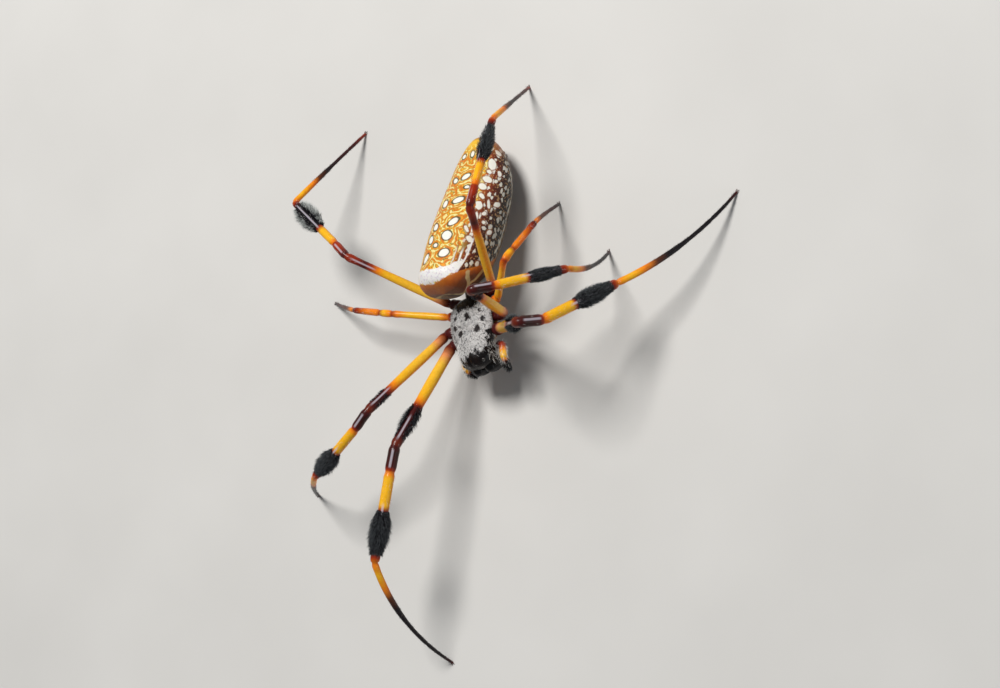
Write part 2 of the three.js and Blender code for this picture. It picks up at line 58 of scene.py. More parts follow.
# Head shield sections: distance ahead of the waist, half width, top, rim and underside
SHIELD = [
    (1.0, 0.0, 0.65, 0.65, 0.65), (1.2, 1.2, 1.0, 0.7, 0.3), (1.65, 2.1, 1.2, 0.75, 0.25),
    (2.5, 2.85, 1.4, 0.75, 0.2), (3.9, 3.2, 1.55, 0.75, 0.2), (5.2, 3.1, 1.7, 0.8, 0.1),
    (6.4, 2.7, 2.0, 0.8, -0.4), (7.5, 2.4, 2.4, 0.8, -0.9), (8.5, 2.2, 2.35, 0.85, -0.9),
    (9.2, 1.8, 1.95, 0.9, -0.5), (9.55, 1.2, 1.5, 0.9, 0.2), (9.7, 0.0, 0.95, 0.95, 0.95),
]
# The keel reaches down to the plate below it, where the solids leave a gap
KEEL = {"back": 1.1, "front": 7.9, "half": 1.75, "top": 0.9, "under": -1.6}
STERNUM = {"back": 1.3, "front": 6.6, "half": 1.7, "top": -1.45, "under": -2.05}

# Abdomen sections: distance back along its axis, top, bottom and half width
ABDOMEN = [
    (-1.6, 1.2, 1.2, 0.0), (-1.4, 2.7, -0.3, 2.5), (-0.9, 3.65, -0.7, 3.1), (0.2, 4.2, -1.5, 3.55),
    (1.8, 4.2, -2.9, 3.9), (4.0, 4.15, -3.95, 4.15), (6.5, 3.9, -4.25, 4.3), (9.0, 3.5, -4.3, 4.3),
    (11.5, 3.0, -4.2, 4.3), (14.0, 2.55, -3.85, 4.05), (16.2, 2.3, -3.1, 3.4), (18.0, 2.0, -2.0, 2.35),
    (19.0, 1.5, -0.95, 1.3), (19.4, 0.2, 0.2, 0.0),
]
WAIST = {"root": [2.2, 0, 0.3], "end": [-2.6, 0, -1.3], "radii": [0.55, 0.47, 0.55]}
SPINNERET = {"back": 17.7, "drop": -2.25, "boss": 0.65, "length": 0.9, "radius": 0.32}
# How far each spinneret's root and tip lie aside and up or down from the middle
SPINNERET_ROOT = (0.3, 0.21)
SPINNERET_TIP = (0.42, 0.34)

EYE_RADIUS = 0.26
EYES = {
    "eye_front_median": [9.15, 0.45, 1.88], "eye_rear_median": [8.2, 0.5, 2.27],
    "eye_front_lateral": [8.88, 1.48, 1.72], "eye_rear_lateral": [8.08, 1.6, 1.86],
}
# The eyes look away from this point in the head: distance ahead and height
EYE_AIM = (7.4, 0.9)
JAW = {"top": [9.6, 0.98, 0.5], "foot": [8.9, 0.9, -1.9], "radius": 0.82, "split": 0.15}
JAW_TAPER = np.array([0.75, 0.95, 1.03, 0.98, 0.84, 0.62])
FANG = {"root": [8.85, 1.0, -2.0], "bend": [8.7, 0.75, -2.9], "tip": [7.9, 0.35, -3.0], "radius": 0.3}
FANG_TAPER = np.array([1, 1, 0.98, 0.9, 0.8, 0.68, 0.5, 0.3, 0.1])
PALPS = {
    "left": [[7.3, 1.75, -1.1], [7.5, 3.0, -0.3], [8.9, 3.15, 0.1], [9.5, 3.2, -0.1], [10.4, 3.05, -0.8]],
    "right": [[7.3, -1.75, -1.1], [7.6, -3.0, -0.3], [8.6, -2.85, 0.1], [9.2, -2.7, -0.2], [9.7, -2.3, -1.2]],
}
PALP_RADII = [0.8, 0.4, 0.42, 0.4, 0.25]

# Legs in pairs from the front: root and hip on the body, lengths of thigh, knee, shin and foot, and radii
LEG_PAIRS = {
    "1": {"root": [5.45, 1.6, -0.35], "hip": [5.85, 3.89, 0.6], "hip_radius": 0.72,
          "lengths": [14.5, 3.1, 10.4, 17.5], "radii": [0.62, 0.62, 0.38]},
    "2": {"root": [4.0, 1.6, -0.4], "hip": [4.25, 4.7, 0.27], "hip_radius": 0.66,
          "lengths": [13.7, 2.9, 8.8, 13.1], "radii": [0.56, 0.55, 0.35]},
    "3": {"root": [2.7, 1.6, -0.4], "hip": [2.24, 4.02, 0.1], "hip_radius": 0.55,
          "lengths": [6.9, 1.9, 4.6, 8.7], "radii": [0.42, 0.4, 0.27]},
    "4": {"root": [1.45, 1.4, -0.4], "hip": [0.84, 3.46, -0.1], "hip_radius": 0.62,
          "lengths": [13.4, 2.7, 9.2, 14.7], "radii": [0.5, 0.48, 0.33]},
}
# Bearing and rise of thigh, knee and shin in degrees, the foot's bearing, and how its middle bows
POSE = {
    "l1": ((70, 52), (92, -51), (122, -48), 124, (1.0, 0.7, 0.4)),
    "l2": ((89, 76), (95, -43), (101, -45), -172, (0.9, 0.3, 0.35)),
    "l3": ((123, 44), (148, -39), (149, -38), -173, (0.0, 0.1, 0.3)),
    "l4": ((146, 53), (163, -16), (169, -25), -170, (0.1, 0.25, 0.4)),
    "r1": ((-25, 31), (-21, 4), (-22, 0), 1, (0.75, -0.7, 1.0)),
    "r2": ((-41, 38), (-56, -9), (-65, -14), -92, (0.2, -0.2, 0.4)),
    "r3": ((-107, 14), (-110, -6), (-111, -14), -119, (0.0, -0.1, 0.3)),
    "r4": ((-130, 32), (-143, -12), (-141, -10), 150, (0.1, 0.2, 0.4)),
}

# Brushes: where the first and last roots sit along the joint, the outer radius and the number of bristles
BRUSHES = {
    "1": {"femur": (0.6, 0.93, 1.1, 1300), "tibia": (0.42, 0.9, 1.3, 3600)},
    "2": {"femur": (0.74, 0.93, 0.75, 500), "tibia": (0.46, 0.88, 1.2, 3200)},
    "4": {"tibia": (0.36, 0.86, 1.25, 2600)},
}
# How full each shin's brush is against its pair's, and the one brush that is gathered into tufts
BRUSH_FULLNESS = {"l1": 0.86, "l2": 0.7, "l4": 0.8, "r4": 1.08}
TUFTED_LEG = "r4"
TUFTS = 13


# Small sums

def turned(axis, degrees):
    return np.array(Matrix.Rotation(math.radians(degrees), 3, axis))


TRUNK_TURN = turned("X", BODY_ROLL) @ turned("Y", BODY_PITCH)
REAR_TURN = turned("Z", -ABDOMEN_YAW) @ turned("Y", -ABDOMEN_DROOP) @ turned("X", BODY_ROLL)


def from_trunk(points):
    return np.asarray(points, float) @ TRUNK_TURN.T + [0, 0, WAIST_HEIGHT]


def from_rear(points):
    return np.asarray(points, float) @ REAR_TURN.T + ABDOMEN_START


def eye_shift():
    """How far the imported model's own origin moved the points of the source."""
    low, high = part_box("eye_front_median_left")
    return (np.array(low) + np.array(high)) / 2 / MM - from_trunk([EYES["eye_front_median"]])[0]


SHIFT = eye_shift()


def unit(vectors):
    return vectors / np.maximum(np.linalg.norm(vectors, axis=-1, keepdims=True), 1e-9)


def around(sides):
    """Evenly spread angles round a ring."""
    return np.arange(sides) * 2 * math.pi / sides


def arc(start, middle, end, t):
    """A curve from the start to the end that is pulled towards the middle."""
    return start * (1 - t) ** 2 + 2 * middle * t * (1 - t) + end * t * t


def smooth_through(knots, values, at):
    """A cubic curve through the values that never overshoots them."""
    step = np.diff(knots)
    slope = np.diff(values, axis=0) / step[:, None]
    tangent = np.zeros_like(values)
    tangent[0] = slope[0]
    tangent[-1] = slope[-1]
    both = slope[:-1] * slope[1:]
    mean = 2 * both / np.where(both > 0, slope[:-1] + slope[1:], 1)
    tangent[1:-1] = np.where(both > 0, mean, 0)
    i = np.clip(np.searchsorted(knots, at, side="right") - 1, 0, len(knots) - 2)
    t = ((at - knots[i]) / step[i])[:, None]
    h = step[i][:, None]
    start = (1 + 2 * t) * (1 - t) ** 2 * values[i] + t * (1 - t) ** 2 * h * tangent[i]
    return start + t * t * (3 - 2 * t) * values[i + 1] + t * t * (t - 1) * h * tangent[i + 1]


def smooth_number(knots, values, at):
    return smooth_through(np.asarray(knots, float), np.array(values, float)[:, None], at)[:, 0]


def through_sections(sections, count, widest):
    """Sections spread evenly along the outline, without the points at both ends."""
    table = np.array(sections, float)
    moves = np.diff(table[:, [0, 1, widest]], axis=0)
    knots = np.concatenate([[0], np.cumsum(np.linalg.norm(moves, axis=1))])
    return smooth_through(knots, table, np.linspace(0, knots[-1], count))[1:-1]


def bump(distance, width):
    return np.exp(-(distance / width) ** 2)


def eased(value, low, high):
    t = np.clip((value - low) / (high - low), 0, 1)
    return t * t * (3 - 2 * t)


# Meshes

def tube_faces(rings, sides):
    """Triangles between closed rings, with a first and a last point that close both ends."""
    k = np.arange(sides)
    ring = np.arange(rings - 1)[:, None] * sides + 1
    a = ring + k
    b = ring + (k + 1) % sides
    quads = np.stack([a, b, b + sides, a + sides], axis=-1).reshape(-1, 4)
    last = rings * sides + 1
    top = 1 + (rings - 1) * sides
    start = np.stack([np.zeros(sides, int), 1 + (k + 1) % sides, 1 + k], axis=-1)
    end = np.stack([np.full(sides, last), top + k, top + (k + 1) % sides], axis=-1)
    return np.concatenate([start, quads[:, [0, 1, 2]], quads[:, [0, 2, 3]], end])


def outward(points, faces):
    a, b, c = (points[faces[:, i]] for i in range(3))
    volume = np.einsum("ij,ij->i", a, np.cross(b, c)).sum()
    return faces if volume > 0 else faces[:, ::-1]


def shell(start, rings, end, values=None):
    """A closed skin from a grid of rings, with a value for each point under each name."""
    count, sides = rings.shape[:2]
    points = np.concatenate([[start], rings.reshape(-1, 3), [end]])
    named = {}
    for name, grid in (values or {}).items():
        named[name] = np.concatenate([[grid[0].mean()], grid.reshape(-1), [grid[-1].mean()]])
    return {"points": points, "faces": outward(points, tube_faces(count, sides)), "values": named}


def joined(solids):
    """One mesh of several that carry the same values."""
    offsets = np.cumsum([0] + [len(one["points"]) for one in solids])
    names = solids[0]["values"]
    whole = {
        "points": np.concatenate([one["points"] for one in solids]),
        "faces": np.concatenate([one["faces"] + offset for one, offset in zip(solids, offsets)]),
        "values": {name: np.concatenate([one["values"][name] for one in solids]) for name in names},
    }
    if "seats" in solids[0]:
        whole["seats"] = np.concatenate([one["seats"] for one in solids])
    return whole


def on_trunk(solid):
    return {**solid, "points": from_trunk(solid["points"])}


def make_piece(name, solid, material, slot, nodes=()):
    """Makes a mesh in metres that rides on the body and stands for the named solids."""
    points = (solid["points"] + SHIFT) * MM
    faces = solid["faces"]
    mesh = bpy.data.meshes.new(name)
    mesh.vertices.add(len(points))
    mesh.vertices.foreach_set("co", points.ravel())
    mesh.loops.add(faces.size)
    mesh.loops.foreach_set("vertex_index", faces.ravel())
    mesh.polygons.add(len(faces))
    mesh.polygons.foreach_set("loop_start", np.arange(0, faces.size, 3))
    mesh.polygons.foreach_set("use_smooth", np.full(len(faces), True))
    for title, values in solid["values"].items():
        mesh.attributes.new(title, "FLOAT", "POINT").data.foreach_set("value", values.astype(float))
    if "seats" in solid:
        layer = mesh.uv_layers.new(name="OFBake")
        layer.uv.foreach_set("vector", solid["seats"][faces.ravel()].ravel())
    mesh.update(calc_edges=True)
    mesh.materials.append(material)
    piece = bpy.data.objects.new(name, mesh)
    bpy.context.scene.collection.objects.link(piece)
    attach(piece, "root")
    if nodes:
        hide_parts(*nodes)


# Hairs: each a bent three-sided spike that tapers to a point

HAIR_RINGS = [(0.0, 1.0), (0.4, 0.85), (0.75, 0.5)]
SEAT_SIZE = 0.003


def hair_faces():
    faces = [(0, 2, 1)]
    for ring in range(len(HAIR_RINGS) - 1):
        for k in range(3):
            a, b = ring * 3 + k, ring * 3 + (k + 1) % 3
            faces += [(a, b, b + 3), (a, b + 3, a + 3)]
    last = 3 * (len(HAIR_RINGS) - 1)
    return np.array(faces + [(last + k, last + (k + 1) % 3, last + 3) for k in range(3)])


def hairs(roots, ways, bends, lengths, widths, seats, random):
    """One mesh of hairs, each with a root, a heading, a bend, a length, a width and a place on the skin."""
    count = len(roots)
    shades = random.uniform(0, 1, count)
    side = unit(np.cross(ways, bends + [0.013, 0.007, 0.003]))
    other = np.cross(ways, side)
    stems, tips, patches = [], [], []
    for share, size in HAIR_RINGS:
        centre = roots + ways * (lengths * share)[:, None] + bends * (lengths * share ** 2)[:, None]
        for turn in around(3):
            offset = side * math.cos(turn) + other * math.sin(turn)
            stems.append(centre + offset * (widths * size)[:, None])
            tips.append(np.full(count, share))
            patches.append(seats + SEAT_SIZE * np.array([math.cos(turn) / 3, share - 0.5]))
    stems.append(roots + (ways + bends) * lengths[:, None])
    tips.append(np.ones(count))
    patches.append(seats + SEAT_SIZE * np.array([0, 0.5]))
    corners = len(stems)
    offsets = (np.arange(count) * corners)[:, None, None]
    points = np.stack(stems, axis=1).reshape(-1, 3)
    return {
        "points": points,
        "faces": outward(points, (hair_faces()[None] + offsets).reshape(-1, 3)),
        "seats": np.stack(patches, axis=1).reshape(-1, 2),
        "values": {"tip": np.stack(tips, axis=1).ravel(), "shade": np.repeat(shades, corners)},
    }


# Limbs: a row of rings along a centre line, with the limb's upper side kept track of

LIMB_STEP = 0.16
SOFTENING = np.array([1, 4, 6, 4, 1]) / 16
SOFTENED_TIMES = 2


class Limb:
    """The centre line of a limb, how far along it each ring lies, its radius, and its upper side."""

    def __init__(self, centres, radii, places, upper):
        for _ in range(SOFTENED_TIMES):
            padded = np.pad(centres, ((2, 2), (0, 0)), mode="reflect", reflect_type="odd")
            centres = np.stack([np.convolve(padded[:, i], SOFTENING, "valid") for i in range(3)], axis=-1)
        self.centres = centres
        self.radii = radii
        self.places = places
        self.lengths = np.concatenate([[0], np.cumsum(np.linalg.norm(np.diff(centres, axis=0), axis=1))])
        self.ways = unit(np.gradient(centres, axis=0))
        tops = []
        top = np.array(upper, float)
        for way in self.ways:
            top = top - way * (top @ way)
            top = top / np.linalg.norm(top)
            tops.append(top)
        self.tops = np.array(tops)
        self.sides = np.cross(self.ways, self.tops)

    def rings(self, radii, turns):
        up = self.tops[:, None] * np.cos(turns)[None, :, None]
        out = up + self.sides[:, None] * np.sin(turns)[None, :, None]
        return self.centres[:, None] + out * radii[..., None]

    def read(self, table, lengths):
        return np.stack([np.interp(lengths, self.lengths, table[:, i]) for i in range(3)], axis=-1)

    def skin(self, lengths, turns):
        """Points on the skin, the way out of it, the way along it, and their places on the skin laid flat."""
        top, side = self.read(self.tops, lengths), self.read(self.sides, lengths)
        out = unit(top * np.cos(turns)[:, None] + side * np.sin(turns)[:, None])
        radius = np.interp(lengths, self.lengths, self.radii)
        flat = np.stack([turns / (2 * math.pi) % 1, lengths / self.lengths[-1]], axis=-1)
        roots = self.read(self.centres, lengths) + out * radius[:, None]
        return roots, out, unit(self.read(self.ways, lengths)), flat


def stretch(start, end, shares, size):
    """Points and radii along a straight joint, without its last point, and how far along each lies."""
    count = max(4, int(round(np.linalg.norm(end - start) / LIMB_STEP)))
    t = np.arange(count) / count
    radii = smooth_number(np.linspace(0, 1, len(shares)), np.array(shares, float) * size, t)
    return start + (end - start) * t[:, None], radii, t


def heading(compass, rise):
    level = math.cos(math.radians(rise))
    compass = math.radians(compass)
    return np.array([level * math.cos(compass), level * math.sin(compass), math.sin(math.radians(rise))])


FOOT_TIP_RADIUS = 0.25
FOOT_RADIUS_LEAST = 0.2
JOINT_NIP = 0.13
JOINT_SWELL = 0.07
# How deep each joint of a leg is nipped, from the hip to the ankle
JOINT_SCALES = (1.0, 1.0, 0.8, 0.9)
# Two more joints, shallower: how far along the hip or the foot they lie, depth and width
TROCHANTER = {"at": 0.62, "depth": 0.12, "width": 0.2}
TARSUS = {"at": 0.74, "depth": 0.15, "width": 0.25}


def leg_joints(code):
    pair = LEG_PAIRS[code[1]]
    thigh_way, knee_way, shin_way, foot_bearing, _ = POSE[code]
    mirror = np.array([1, 1 if code[0] == "l" else -1, 1])
    femur, patella, tibia, foot = pair["lengths"]
    root = from_trunk([np.array(pair["root"]) * mirror])[0]
    hip = from_trunk([np.array(pair["hip"]) * mirror])[0]
    knee = hip + heading(*thigh_way) * femur
    shin = knee + heading(*knee_way) * patella
    ankle = shin + heading(*shin_way) * tibia
    tip = ankle + heading(foot_bearing, 0) * math.sqrt(foot ** 2 - ankle[2] ** 2)
    tip[2] = 0
    return root, hip, knee, shin, ankle, tip


def foot_line(code, ankle, tip):
    """The foot's centre line and radii, and how far along each lies."""
    pair = LEG_PAIRS[code[1]]
    bow = np.array(POSE[code][-1])
    t = np.linspace(0, 1, int(pair["lengths"][3] / LIMB_STEP))
    line = arc(ankle, (ankle + tip) / 2 + 2 * bow, tip + [0, 0, FOOT_TIP_RADIUS * 0.4], t[:, None])
    foot = pair["radii"][2]
    thin = max(FOOT_RADIUS_LEAST, 0.62 * foot)
    radii = [foot, 1.05 * foot, 0.95 * foot, 0.85 * foot, thin, thin, 0.2, 0.15]
    return line, smooth_number(np.linspace(0, 1, len(radii)), radii, t), t


def build_limb(code):
    root, hip, knee, shin, ankle, tip = leg_joints(code)
    pair = LEG_PAIRS[code[1]]
    thigh, shank, _ = pair["radii"]
    parts = [
        stretch(root, hip, [0.6, 0.85, 1, 0.95], pair["hip_radius"]),
        stretch(hip, knee, [1, 1, 1.05, 1, 0.92, 0.9, 0.98], thigh),
        stretch(knee, shin, [0.95, 1.05, 0.95], shank),
        stretch(shin, ankle, [0.95, 1.02, 1, 0.92, 0.85], shank),
        foot_line(code, ankle, tip),
    ]
    centres = np.concatenate([part[0] for part in parts])
    radii = np.concatenate([part[1] for part in parts])
    places = np.concatenate([part[2] * 0.999 + i - 1 for i, part in enumerate(parts)])
    limb = Limb(centres, radii, places, [0, 0, 1])
    limb.joints = limb.lengths[np.cumsum([len(part[0]) for part in parts[:4]])]
    for joint, scale in zip(limb.joints, JOINT_SCALES):
        past = limb.lengths - joint
        swell = bump(past + 0.65, 0.4) + bump(past - 0.6, 0.35)
        limb.radii = limb.radii * (1 - scale * JOINT_NIP * bump(past, 0.22))
        limb.radii = limb.radii * (1 + scale * JOINT_SWELL * swell)
    for small, start, end in ((TROCHANTER, 0, limb.joints[0]), (TARSUS, limb.joints[3], limb.lengths[-1])):
        past = limb.lengths - (start + (end - start) * small["at"])
        limb.radii = limb.radii * (1 - small["depth"] * bump(past, small["width"]))
    return limb


LEG_SIDES = 24
FLOOR_CLEARANCE = 0.004
# The soft skin under knee and ankle: how far past the joint it lies and its share of the bulge
MEMBRANES = {1: (0.15, 1.0), 3: (0.0, 0.35)}
MEMBRANE_BULGE = 0.34
MEMBRANE_LENGTH = 0.42


def leg_skin(limb, pair):
    turns = around(LEG_SIDES)
    belly = np.maximum(0, -np.cos(turns)) ** 2
    membrane = np.zeros((len(limb.radii), LEG_SIDES))
    for joint, (past, size) in MEMBRANES.items():
        membrane += size * bump(limb.lengths - limb.joints[joint] - past, MEMBRANE_LENGTH)[:, None] * belly
    thickness = pair["radii"][0] / LEG_PAIRS["1"]["radii"][0]
    rings = limb.rings(limb.radii[:, None] + membrane * MEMBRANE_BULGE * thickness, turns)
    rings[..., 2] = np.maximum(rings[..., 2], FLOOR_CLEARANCE)
    start, end = limb.centres[0] - limb.ways[0] * 0.3, limb.centres[-1] + limb.ways[-1] * 0.1
    end[2] = max(end[2], FLOOR_CLEARANCE)
    places = np.repeat(limb.places[:, None], LEG_SIDES, axis=1)
    tops = np.repeat(np.cos(turns)[None], len(limb.radii), axis=0)
    return shell(start, rings, end, {"place": places, "membrane": membrane, "top": tops})


BRUSH_LEAN = 43
BRUSH_SPANS = {"femur": (0, 1), "tibia": (2, 3)}
BRISTLE_WIDTHS = (0.02, 0.036)


def brush_hairs(limb, span, spec, random, bare, tufts):
    """Stiff bristles that lean towards the foot and swell to a spindle, with none on the bare upper angle."""
    low, high, reach, count = spec
    start, end = (limb.joints[i] for i in BRUSH_SPANS[span])
    share = random.uniform(0, 1, count)
    lengths = start + (end - start) * (low + (high - low) * share)
    turns = random.choice([-1, 1], count) * random.uniform(bare, math.pi, count)
    if tufts:
        turns = random.choice([-1, 1], count) * np.clip(random.normal(1.55, 0.38, count), 0.8, math.pi)
    roots, out, along, seats = limb.skin(lengths, turns)
    lean = np.radians(random.normal(BRUSH_LEAN, 6, count))
    fullness = 0.66 + 0.34 * eased(share, 0, 0.2) - 0.34 * eased(share, 0.45, 1)
    radius = np.interp(lengths, limb.lengths, limb.radii)
    size = (reach * fullness - radius) / np.sin(lean) * random.uniform(0.72, 1.12, count)
    if tufts:
        size = size * (0.86 + 0.26 * np.sin(2 * math.pi * tufts * share))
    ways = along * np.cos(lean)[:, None] + out * np.sin(lean)[:, None]
    ways = unit(ways + random.normal(0, 0.07, (count, 3)))
    bends = (out * 0.14 + along * 0.08) * random.uniform(0.3, 1.3, count)[:, None]
    widths = random.uniform(*BRISTLE_WIDTHS, count)
    return hairs(roots - out * 0.06, ways, bends, np.maximum(size, 0.25), widths, seats, random)


def fine_hairs(limb, low, high, count, length, random, lean=38, width=0.013):
    """Short hairs scattered over a stretch of a limb. Close to the floor they point up."""
    lengths = random.uniform(low, high, count)
    turns = random.uniform(0, 2 * math.pi, count)
    roots, out, along, seats = limb.skin(lengths, turns)
    tilt = np.radians(random.normal(lean, 9, count))
    ways = along * np.cos(tilt)[:, None] + out * np.sin(tilt)[:, None]
    ways = unit(ways + random.normal(0, 0.12, (count, 3)))
    ways[:, 2] = np.where(roots[:, 2] < 0.6, np.abs(ways[:, 2]), ways[:, 2])
    bends = along * random.uniform(0.0, 0.25, count)[:, None]
    size = length * random.uniform(0.6, 1.25, count)
    return hairs(roots - out * 0.03, ways, bends, size, np.full(count, width), seats, random)


# Materials

class Field:
    """A number, place or colour that a material works out at each point. Sums are written as usual."""

    def __init__(self, socket):
        self.socket = socket

    def sum(self, kind, other=0.0):
        made = self.socket.id_data.nodes.new("ShaderNodeMath")
        made.operation = kind
        plug(self, made.inputs[0])
        plug(other, made.inputs[1])
        return Field(made.outputs[0])

    def __add__(self, other):
        return self.sum("ADD", other)

    def __sub__(self, other):
        return self.sum("SUBTRACT", other)

    def __mul__(self, other):
        return self.sum("MULTIPLY", other)

    def __abs__(self):
        return self.sum("ABSOLUTE")

    def most(self, *others):
        whole = self
        for other in others:
            whole = whole.sum("MAXIMUM", other)
        return whole

    def step(self, low, high):
        """Goes smoothly from 0 at low to 1 at high."""
        made = self.socket.id_data.nodes.new("ShaderNodeMapRange")
        made.interpolation_type = "SMOOTHSTEP"
        for name, value in (("Value", self), ("From Min", low), ("From Max", high)):
            plug(value, made.inputs[name])
        return Field(made.outputs[0])

    def near(self, middle, outer, inner):
        """1 within the inner distance of the middle, and 0 beyond the outer."""
        return abs(self - middle).step(outer, inner)


def plug(value, socket):
    """Links a field to a socket, or sets the socket to a plain value. A colour may leave out its alpha."""
    if isinstance(value, Field):
        socket.id_data.links.new(value.socket, socket)
    elif socket.type == "RGBA":
        socket.default_value = (*value, 1.0)
    else:
        socket.default_value = value


class Paint:
    """A material in the making: its nodes, and the colour laid on so far."""

    def __init__(self, name, roughness, coat=0.0, coat_roughness=0.15, specular=0.5, scatter=0.0):
        self.material = bpy.data.materials.new(name)
        self.material.use_nodes = True
        self.nodes = self.material.node_tree.nodes
        self.shader = self.nodes["Principled BSDF"]
        self.base = None
        self.set("Roughness", roughness)
        self.set("Coat Weight", coat)
        self.set("Coat Roughness", coat_roughness)
        self.set("Specular IOR Level", specular)
        self.set("Subsurface Weight", scatter)
        self.set("Subsurface Scale", 0.0004)

    def set(self, name, value):
        plug(value, self.shader.inputs[name])

    def node(self, kind, sockets=None, output=0, **settings):
        made = self.nodes.new(kind)
        for key, value in settings.items():
            setattr(made, key, value)
        for key, value in (sockets or {}).items():
            plug(value, made.inputs[key])
        return Field(made.outputs[output])

    def value(self, name):
        return self.node("ShaderNodeAttribute", output="Fac", attribute_name=name)

    def model_place(self):
        return self.node("ShaderNodeTexCoord", output="Object")

    def noise(self, scale, detail=2.0, place=None, output="Fac"):
        """Noise with its scale in features to the metre of the model, or to the unit of the given place."""
        sockets = {"Vector": place or self.model_place(), "Scale": scale, "Detail": detail}
        return self.node("ShaderNodeTexNoise", sockets, output)

    def cells(self, scale, feature="DISTANCE_TO_EDGE"):
        sockets = {"Vector": self.model_place(), "Scale": scale}
        return self.node("ShaderNodeTexVoronoi", sockets, "Distance", feature=feature)

    def stretched(self, place, scale, moved=(0, 0, 0)):
        return self.node("ShaderNodeMapping", {"Vector": place, "Scale": scale, "Location": moved})

    def ramp(self, value, stops):
        made = self.nodes.new("ShaderNodeValToRGB")
        plug(value, made.inputs["Fac"])
        strip = made.color_ramp
        while len(strip.elements) < len(stops):
            strip.elements.new(0.5)
        for element, (place, rgb) in zip(strip.elements, stops):
            element.position = place
            element.color = (*rgb, 1.0)
        return Field(made.outputs["Color"])

    def mix(self, factor, first, second, mode="MIX"):
        sockets = {0: factor, 6: first, 7: second}
        return self.node("ShaderNodeMix", sockets, 2, data_type="RGBA", blend_type=mode)

    def lay(self, rgb, where):
        """Lays a colour on as far as the field reaches."""
        self.base = self.mix(where, self.base, rgb)

    def tint(self, rgb, where=1.0):
        """Multiplies what is there by a colour."""
        self.base = self.mix(where, self.base, rgb, "MULTIPLY")

    def relief(self, height, strength, depth):
        sockets = {"Height": height, "Strength": strength, "Distance": depth}
        self.set("Normal", self.node("ShaderNodeBump", sockets))

    def done(self, roughness=None):
        self.set("Base Color", self.base)
        if roughness:
            self.set("Roughness", roughness)
        return self.material


GOLD = (0.84, 0.44, 0.015)
GOLD_PALE = (0.86, 0.50, 0.04)
ORANGE = (0.80, 0.22, 0.010)
PINKISH = (0.72, 0.27, 0.10)
RED = (0.30, 0.028, 0.006)
MAROON = (0.060, 0.008, 0.008)
RUST = (0.14, 0.018, 0.006)
UMBER = (0.030, 0.010, 0.008)
BROWN = (0.10, 0.03, 0.012)
BLACK = (0.010, 0.008, 0.010)
INK = (0.006, 0.005, 0.007)
# Tint for painted shade on the sides of the legs
LEG_SIDE_PAINTED_SHADE = (1.0, 0.5, 0.3)
LEG_PIT = (0.09, 0.03, 0.01)
# Colour of a painted highlight along the top line of the legs
PAINTED_RIDGE_HIGHLIGHT = (0.56, 0.51, 0.58)
SOFT_SKIN = (0.85, 0.21, 0.012)


def stops(places, *colours):
    return list(zip(places, colours))


# Colours along a leg. A place counts joints: -1 to 0 is the hip, then thigh, knee, shin and foot to 4
HIP_COLOURS = stops((-1, -0.03, 0.04, 0.11, 0.2), MAROON, MAROON, RUST, PINKISH, GOLD_PALE)
KNEE_COLOURS = stops((0.93, 0.98, 1.04, 1.3, 1.8), MAROON, RUST, MAROON, UMBER, MAROON)
SHIN_COLOURS = stops((1.93, 2.02, 2.07), RED, ORANGE, GOLD)
FOOT_COLOURS = stops((2.95, 3.01, 3.1), RED, ORANGE, GOLD)
THIGH_FADE = (GOLD, ORANGE, RED, MAROON)
BRUSH_FADE = (GOLD, RED, BLACK, BLACK, MAROON)
FOOT_FADE = (ORANGE, BROWN, BLACK, BLACK, MAROON)
LEG_COLOURS = {
    "1": (HIP_COLOURS + stops((0.5, 0.57, 0.61, 0.64), *THIGH_FADE) + KNEE_COLOURS + SHIN_COLOURS
          + stops((2.37, 2.41, 2.44, 2.86, 2.89), *BRUSH_FADE) + FOOT_COLOURS
          + stops((3.2, 3.29, 3.38, 3.9, 4), *FOOT_FADE)),
    "2": (HIP_COLOURS + stops((0.6, 0.68, 0.74, 0.8), *THIGH_FADE) + KNEE_COLOURS + SHIN_COLOURS
          + stops((2.4, 2.45, 2.48, 2.84, 2.87), *BRUSH_FADE) + FOOT_COLOURS
          + stops((3.24, 3.34, 3.5, 3.9, 4), *FOOT_FADE)),
    "3": (stops((-1, -0.4, -0.2, 0.02, 0.2, 0.7, 0.9), MAROON, MAROON, RED, ORANGE, GOLD, GOLD, ORANGE)
          + stops((1.0, 1.12, 1.6, 1.95, 2.08, 2.4), RED, ORANGE, GOLD, RED, ORANGE, ORANGE)
          + stops((2.8, 2.96, 3.04, 3.2, 3.6, 4), RED, MAROON, ORANGE, BROWN, MAROON, BLACK)),
    "4": (HIP_COLOURS + stops((0.62, 0.7, 0.76, 0.82), *THIGH_FADE)
          + stops((0.95, 1.04, 1.6), RED, MAROON, RED) + SHIN_COLOURS
          + stops((2.28, 2.34, 2.38, 2.86, 2.9), *BRUSH_FADE) + FOOT_COLOURS
          + stops((3.26, 3.34, 3.46, 3.85, 4), ORANGE, BROWN, BLACK, MAROON, RED)),
}
# Where a painted highlight runs along the upper edge: its middle, and how far it reaches out and at full
# strength
PAINTED_HIGHLIGHT_SPANS = [(0.84, 0.14, 0.08), (1.5, 0.38, 0.28), (2.62, 0.3, 0.22)]


